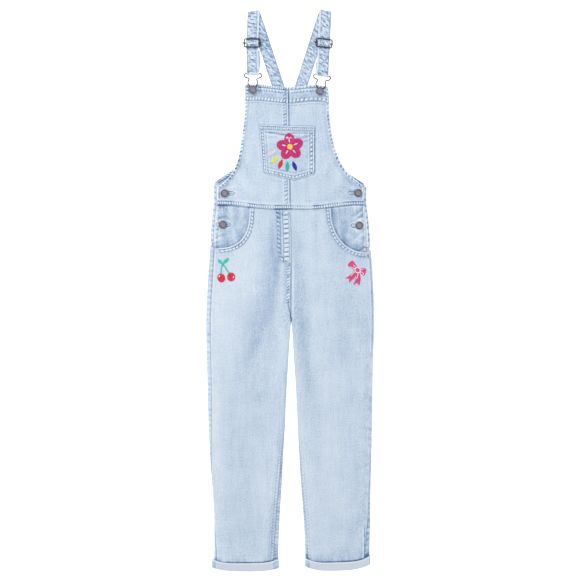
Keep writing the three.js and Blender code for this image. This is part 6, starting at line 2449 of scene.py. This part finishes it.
def hole_binding(level, side):
    """Spindles that stand round the slit, with a ragged outer end."""
    x, y, first, last = SIDE_BUTTONS[(level, side)]
    inner, outer, pitch = 0.8, 2.5, 0.45
    straight = np.arange(first, last, pitch)
    turn = np.arange(0, np.pi, pitch / inner / 1.6)
    place = np.concatenate([straight, np.full(len(turn), last), straight[::-1], np.full(len(turn), first)])
    quarter = np.full(len(straight), np.pi / 2)
    angle = np.concatenate([quarter, np.pi / 2 - turn, -quarter, -np.pi / 2 - turn])
    c, s = np.cos(angle), np.sin(angle)
    z = surface_height(level, x + place, y + 0 * place)
    reach = outer + 0.2 * waver(np.arange(len(angle)), 1.4, 201)
    starts = points_at(x + place + c * inner, y + s * inner, z + 0.25)
    return spindles(starts, points_at(x + place + c * reach, y + s * reach, z + 0.2), 0.27)


def hole_slit(level, side):
    """The slit as a narrow dark sheet, pointed at both ends: painted shadow in the opening."""
    x, y, first, last = SIDE_BUTTONS[(level, side)]
    half_wide = 0.85 * np.sin(np.linspace(0.3, np.pi - 0.3, 16))[:, None]
    slit_y = y + half_wide * np.linspace(-1, 1, 5)
    slit_x = x + np.linspace(first, last, 16)[:, None] + 0 * slit_y
    return points_at(slit_x, slit_y, surface_height(level, slit_x, slit_y) + 0.05)


for level, side in SIDE_BUTTONS:
    panel = f"denim_front_bib_{side}" if level == "upper" else f"denim_hip_piece_{side}"
    binding = mesh_object(f"buttonhole_{level}_{side}", *hole_binding(level, side), MATERIAL["thread"])
    declare(binding, None, sewn_on=panel)
    slit, name = hole_slit(level, side), f"buttonhole_slit_{level}_{side}"
    cloth(None, slit, 0 * slit[..., 0], -0.4, "slit", "trim_denim", name, panel, wall=0.3)
print("buttonholes:", len(SIDE_BUTTONS))

# %% Bartacks
MATERIAL["red_thread"] = thread("red bartack thread", (196, 92, 104))
MATERIAL["olive_thread"] = thread("olive bartack thread", (166, 156, 96))
MATERIAL["gold_thread"] = thread("yellow bartack thread", (224, 208, 160))
# Thread, centre, width, length of the stitches, height that they lie at
BARTACKS = [
    ("red_thread", 152.5, 84.5, 6.0, 1.6, 5.6),
    ("olive_thread", 155.8, 68.0, 1.5, 9.0, 7.2),
    ("gold_thread", -4.5, 54.6, 6.0, 2.2, 7.4),
    ("thread", -149.5, 190.5, 5.0, 2.0, 3.0),
]
for number, (material, x, y, width, length, z) in enumerate(BARTACKS):
    across = np.arange(-width / 2, width / 2, 0.36)
    jitter = 0.25 * waver(across, 0.5, 210 + number)
    ends = [points_at(x + across, y + half + jitter, z) for half in (-length / 2, length / 2)]
    piece = mesh_object(f"bartack_{number + 1}", *spindles(*ends, 0.28), MATERIAL[material])
    declare(piece, None)
print("bartacks:", len(BARTACKS))

# %% [markdown]
# ## Embroidery
# Machine embroidery fills a shape with parallel satin stitches. `satin` runs lines across an outline at
# one angle, keeps the parts inside it, and lays a spindle of thread along each. The stitches lie closer
# than they are wide, so that no denim shines through. The outlines are drawn from simple rounded forms.

# %% Satin stitch
RAISED = 0.35  # satin thread lies this far above the cloth, or above other satin
SATIN_SPACING, SATIN_LONGEST, SATIN_SEED = 0.4, 9.0, 301


def inside_spans(outline, offsets, angle):
    """Where parallel lines cross an outline: start and end points in the plan."""
    c, s = np.cos(angle), np.sin(angle)
    u, v = outline @ np.array([c, s]), outline @ np.array([-s, c])
    back = np.array([[c, s], [-s, c]])
    spans = []
    for offset in offsets:
        after = np.roll(v, -1)
        crossing = (v <= offset) != (after <= offset)
        t = (offset - v[crossing]) / (after[crossing] - v[crossing])
        at = np.sort(u[crossing] + t * (np.roll(u, -1)[crossing] - u[crossing]))
        for first, last in zip(at[::2], at[1::2]):
            if last - first > 0.5:
                spans.append((np.array([first, offset]) @ back, np.array([last, offset]) @ back))
    return spans


def satin(name, shapes, material, height):
    """Satin stitches over several (outline, angle) shapes, as one mesh. height gives z in the plan."""
    random = np.random.default_rng(SATIN_SEED)
    starts, ends = [], []
    for outline, angle in shapes:
        v = outline @ np.array([-np.sin(angle), np.cos(angle)])
        offsets = np.arange(v.min() + SATIN_SPACING / 2, v.max(), SATIN_SPACING)
        for a, b in inside_spans(outline, offsets, angle):
            pieces = max(int(np.ceil(np.linalg.norm(b - a) / SATIN_LONGEST)), 1)
            cuts = np.linspace(0, 1, pieces + 1)
            if pieces > 1:
                cuts[1:-1] += random.uniform(-0.25, 0.25, pieces - 1) / pieces
            starts += [lerp(a, b, cut) for cut in cuts[:-1]]
            ends += [lerp(a, b, cut) for cut in cuts[1:]]
    raised = [np.column_stack([p, height(*p.T) + RAISED]) for p in (np.array(starts), np.array(ends))]
    points, quads = spindles(*raised, SATIN_SPACING * 0.95, sink=0.3)
    declare(mesh_object(name, points, quads, MATERIAL[material]), None)
    print(f"{name}: {len(starts)} satin stitches")


# %% Outlines of leaves, rounds and ribbons


def placed(x, y, shape_x, shape_y, turn):
    """The points of a shape in the plan, turned by an angle in radians and moved to x, y."""
    return np.column_stack(turned_in_plan(shape_x, shape_y, turn)) + [x, y]


def ellipse(x, y, a, b, turn=0.0, count=48):
    c, s = round_points(count)
    return placed(x, y, a * c, b * s, turn)


def leaf(x0, y0, x1, y1, width, count=20):
    """A pointed leaf from one end to the other."""
    t = np.linspace(0, 1, count)
    way = np.array([x1 - x0, y1 - y0])
    aside = np.array([-way[1], way[0]]) / np.linalg.norm(way)
    swell = (np.sin(np.pi * t) ** 0.8 * width / 2)[:, None]
    middle = np.array([x0, y0]) + way * t[:, None]
    return np.concatenate([middle + aside * swell, (middle - aside * swell)[::-1]])


def ribbon(points, widths):
    """A band of changing width along a line of points, as an outline."""
    line = smooth_line(np.column_stack([points, np.zeros(len(points))]), 40)[:, :2]
    width = np.interp(np.linspace(0, 1, 40), np.linspace(0, 1, len(widths)), widths)[:, None]
    way = unit(np.gradient(line, axis=0))
    aside = np.stack([-way[:, 1], way[:, 0]], axis=-1)
    return np.concatenate([line + aside * width / 2, (line - aside * width / 2)[::-1]])


print("points of a leaf:", len(leaf(0, 0, 10, 0, 4)))

# %% Embroidery threads
EMBROIDERY = {
    "magenta": (214, 44, 122),
    "pink": (238, 76, 142),
    "pale_pink": (250, 222, 232),
    "white": (250, 250, 250),
    "red": (240, 42, 70),
    "scarlet": (236, 34, 52),
    "teal": (42, 196, 172),
    "green": (70, 208, 190),
    "blue": (24, 48, 168),
    "yellow": (255, 238, 92),
}
for name, rgb in EMBROIDERY.items():
    MATERIAL[name] = thread(f"{name} embroidery thread", rgb, 0.42, 0.15)


def thigh(side, above=0.0):
    """The face of a front leg as a height for satin."""
    return lambda x, y: front_leg_middle(side, x, y) + CLOTH / 2 + above


def pocket_face(above=0.0):
    return lambda x, y: bib_middle(x, y) + LAYER + CLOTH / 2 + above


print("embroidery threads:", len(EMBROIDERY))

# %% [markdown]
# ## Cherries
# The left thigh carries two round cherries on one pair of stems, with two leaves where the stems meet.
# Each fruit has a small pale glint, sewn over the red.

# %% Cherries
fruit = [(ellipse(-137.3, 24.2, 7.9, 9.2, 0.2), 1.2), (ellipse(-117.5, 26.2, 8.2, 8.8, -0.2), 0.5)]
glints = [(leaf(-142.6, 24.6, -139.6, 30.4, 2.3), 0.9), (leaf(-114.2, 22.6, -111.8, 28.6, 2.3), 1.2)]
stems = [
    (ribbon([(-137.4, 32.5), (-137.4, 42.0), (-134.6, 52.0)], [2.8, 2.6, 3.2]), 0.0),
    (ribbon([(-121.8, 33.2), (-128.0, 43.5), (-135.4, 53.0)], [2.8, 2.6, 3.2]), 0.3),
]
leaves = [(leaf(-134.8, 51.4, -144.4, 61.4, 6.6), 0.4), (leaf(-134.6, 51.6, -121.8, 64.4, 7.6), -0.5)]
satin("cherries_fruit", fruit, "red", thigh("left"))
satin("cherries_glints", glints, "white", thigh("left", RAISED))
satin("cherries_leaves", stems + leaves, "green", thigh("left"))

# %% [markdown]
# ## Bow
# The bow on the other thigh has two loops, a knot and two notched tails in pink, with pale lines between
# them. All of it is placed from the knot.

# %% Loops, tails and rings
KNOT = np.array([135.0, 39.6])


def loop_shape(x, y, length, width, degrees):
    """One loop of a bow: narrow at the knot, wide and blunt at its end."""
    t = np.linspace(0, 1, 30)
    swell = width / 2 * (0.4 + 0.6 * t**0.7) * np.sqrt(np.clip(1 - t**14, 0.03, 1))
    far, over = np.concatenate([t, t[::-1]]) * length, np.concatenate([swell, -swell[::-1]])
    return placed(*(KNOT + (x, y)), far, over, np.radians(degrees))


def tail_shape(x, y, end_x, end_y, narrow, wide):
    """A ribbon's tail with a notched end."""
    start, end = KNOT + (x, y), np.array([end_x, end_y])
    size = np.linalg.norm(end - start)
    ahead = (end - start) / size
    aside = np.array([-ahead[1], ahead[0]])
    middle = (start + end) / 2 + 0.08 * size * aside
    line = np.array([start, middle, end])
    swell = aside * np.array([[narrow / 2], [(narrow + wide) / 4], [wide / 2]])
    return np.array([*(line + swell), end - ahead * wide * 0.45, *(line - swell)[::-1]])


def ring(x, y, a, b, turn, width):
    """A closed ribbon as two halves."""
    halves = []
    for start in (0, np.pi):
        t = np.linspace(start, start + np.pi, 14)
        line = placed(*(KNOT + (x, y)), a * np.cos(t), b * np.sin(t), turn)
        halves.append((ribbon(line, [width, width]), turn + 0.8))
    return halves


def stroke(points, width=1.5, turn=0.6):
    """One white line of the bow, with its points given from the knot."""
    return ribbon(np.array(points) + KNOT, [width, width * 0.7]), turn


print("points of a loop:", len(loop_shape(0, 0, 20, 16, 0)))

# %% The bow
bow_shapes = [
    (loop_shape(-2.0, 1.6, 20.0, 16.5, 136), 0.9),
    (loop_shape(2.0, -0.6, 14.6, 17.5, -16), 1.5),
    (tail_shape(-3.0, -2.0, 113.8, 19.0, 7.5, 11.5), 0.9),
    (tail_shape(0.8, -3.0, 132.4, 9.0, 7.0, 12.0), 1.5),
    (ellipse(*KNOT, 3.6, 4.4, 0.6), 0.4),
]
white_lines = [
    stroke([(-4.5, 2.0), (-9.5, 4.2), (-15.0, 6.8)], 2.0),
    stroke([(-3.6, 4.4), (-6.0, 7.5), (-8.4, 10.5)], 1.8, 0.2),
    stroke([(5.0, 2.6), (8.0, 1.2), (11.0, 1.0)], 1.7, 0.2),
    stroke([(-5.0, -2.6), (-9.5, -6.5), (-13.5, -11.5)], 2.0, 0.9),
    stroke([(0.9, -5.5), (0.0, -11.5), (-2.4, -18.0)], 1.9, 0.9),
    *ring(0, 0, 5.0, 5.7, 0.6, 2.1),
    *ring(8.4, -6.6, 3.8, 2.5, -0.7, 1.6),
]
satin("bow_ribbon", bow_shapes, "pink", thigh("right"))
satin("bow_lines", white_lines, "white", thigh("right", RAISED))

# %% [markdown]
# ## Flower
# The pocket carries a plain flower of five round petals with pale rays and a yellow heart, and a row of
# five coloured petals in an arc under it. Each petal lies a little above the last, as they were sewn.

# %% Flower and the petals under it
FLOWER = np.array([0.0, 286.0])
petals, rays = [], []
for number in range(5):
    turn = np.radians(96 + 72 * number)
    way = direction(96 + 72 * number)[:2]
    petals.append((ellipse(*(FLOWER + 14.2 * way), 13.0, 11.0, turn), turn + 1.57))
    rays.append((leaf(*(FLOWER + 7.5 * way), *(FLOWER + 17.0 * way), 3.0), turn + 1.2))
for number, petal in enumerate(petals):
    satin(f"flower_petal_{number + 1}", [petal], "magenta", pocket_face(0.14 * number))
satin("flower_rays", rays, "pale_pink", pocket_face(0.9))
satin("flower_heart", [(ellipse(*FLOWER, 5.6, 5.6), 0.5)], "yellow", pocket_face(1.0))
for number, name in enumerate(("pale_pink", "yellow", "scarlet", "teal", "blue")):
    turn = np.radians(196 + 21 * number)
    base = FLOWER + 29.5 * np.array([np.cos(turn), np.sin(turn)])
    tip = base + 21 * np.array([np.cos(turn + 0.22), np.sin(turn + 0.22)])
    satin(f"petal_{name}", [(leaf(*base, *tip, 8.6), turn + 1.3)], name, pocket_face())

# %% [markdown]
# ## Stage
# The garment is shown as a shop shows it: on a plain white surface that glows a little, so that it stays
# white up to the edges of the picture. It reaches far beyond the garment, for views from the side.

# %% White surface
FLOOR_REACH, FLOOR_Z = 15000.0, -0.4
material, tree, shader = principled("white sweep", 0.9)
shade = maths(tree, "MULTIPLY_ADD", noise(tree, mapped(tree), 2.0), 0.01, 0.5)
white = colour_ramp(tree, shade, [(0.0, (248, 248, 248)), (1.0, (255, 255, 255))])
tree.links.new(white, shader.inputs["Base Color"])
tree.links.new(white, shader.inputs["Emission Color"])
shader.inputs["Emission Strength"].default_value = 0.6
corners = np.array([(-1, -1), (1, -1), (1, 1), (-1, 1)]) * FLOOR_REACH
points = np.column_stack([corners, np.full(4, FLOOR_Z)])
mesh_object("studio_floor", points, np.array([[0, 1, 2, 3]]), material)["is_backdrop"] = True
print("surface", 2 * FLOOR_REACH * MM, "m wide")

# %% [markdown]
# ## Camera and light
# The camera looks straight down through a long lens, so that nothing is drawn together at the edges. One
# lamp from the upper left gives the seams their relief, a larger and weaker one fills the other side,
# and a bright even world keeps the surface white and the shadows faint.

# %% Camera and light
CAMERA_HEIGHT, SEEN_WIDTH, SENSOR = 3.0, 1.16, 36  # metres, metres, millimetres
LAMPS = {"key": ((-1.5, 1.6, 1.7), 1.1, 30), "fill": ((1.6, -0.8, 2.6), 2.4, 8)}  # place, size, watts


def add_to_scene(name, data):
    thing = bpy.data.objects.new(name, data)
    bpy.context.scene.collection.objects.link(thing)
    return thing


camera = add_to_scene("camera", bpy.data.cameras.new("camera"))
camera.location = (0, 0, CAMERA_HEIGHT)
camera.data.lens = SENSOR * CAMERA_HEIGHT / SEEN_WIDTH
camera.data.clip_end = 20
bpy.context.scene.camera = camera
for name, (place, size, power) in LAMPS.items():
    lamp = add_to_scene(name, bpy.data.lights.new(name, "AREA"))
    lamp.data.size = size
    lamp.data.energy = power
    lamp.location = place
    lamp.rotation_mode = "QUATERNION"
    lamp.rotation_quaternion = (-Vector(place)).to_track_quat("-Z", "Y")
world = bpy.data.worlds.new("studio")
world.use_nodes = True
background = world.node_tree.nodes["Background"].inputs
background["Color"].default_value = (1, 1, 1, 1)
background["Strength"].default_value = 0.69
bpy.context.scene.world = world
bpy.context.scene.view_settings.view_transform = "Standard"
print("lens:", round(camera.data.lens, 1), "mm")

# %% Finish
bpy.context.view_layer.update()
triangles = sum(sum(len(p.vertices) - 2 for p in o.data.polygons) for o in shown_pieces() if o.type == "MESH")
print("triangles shown:", triangles)
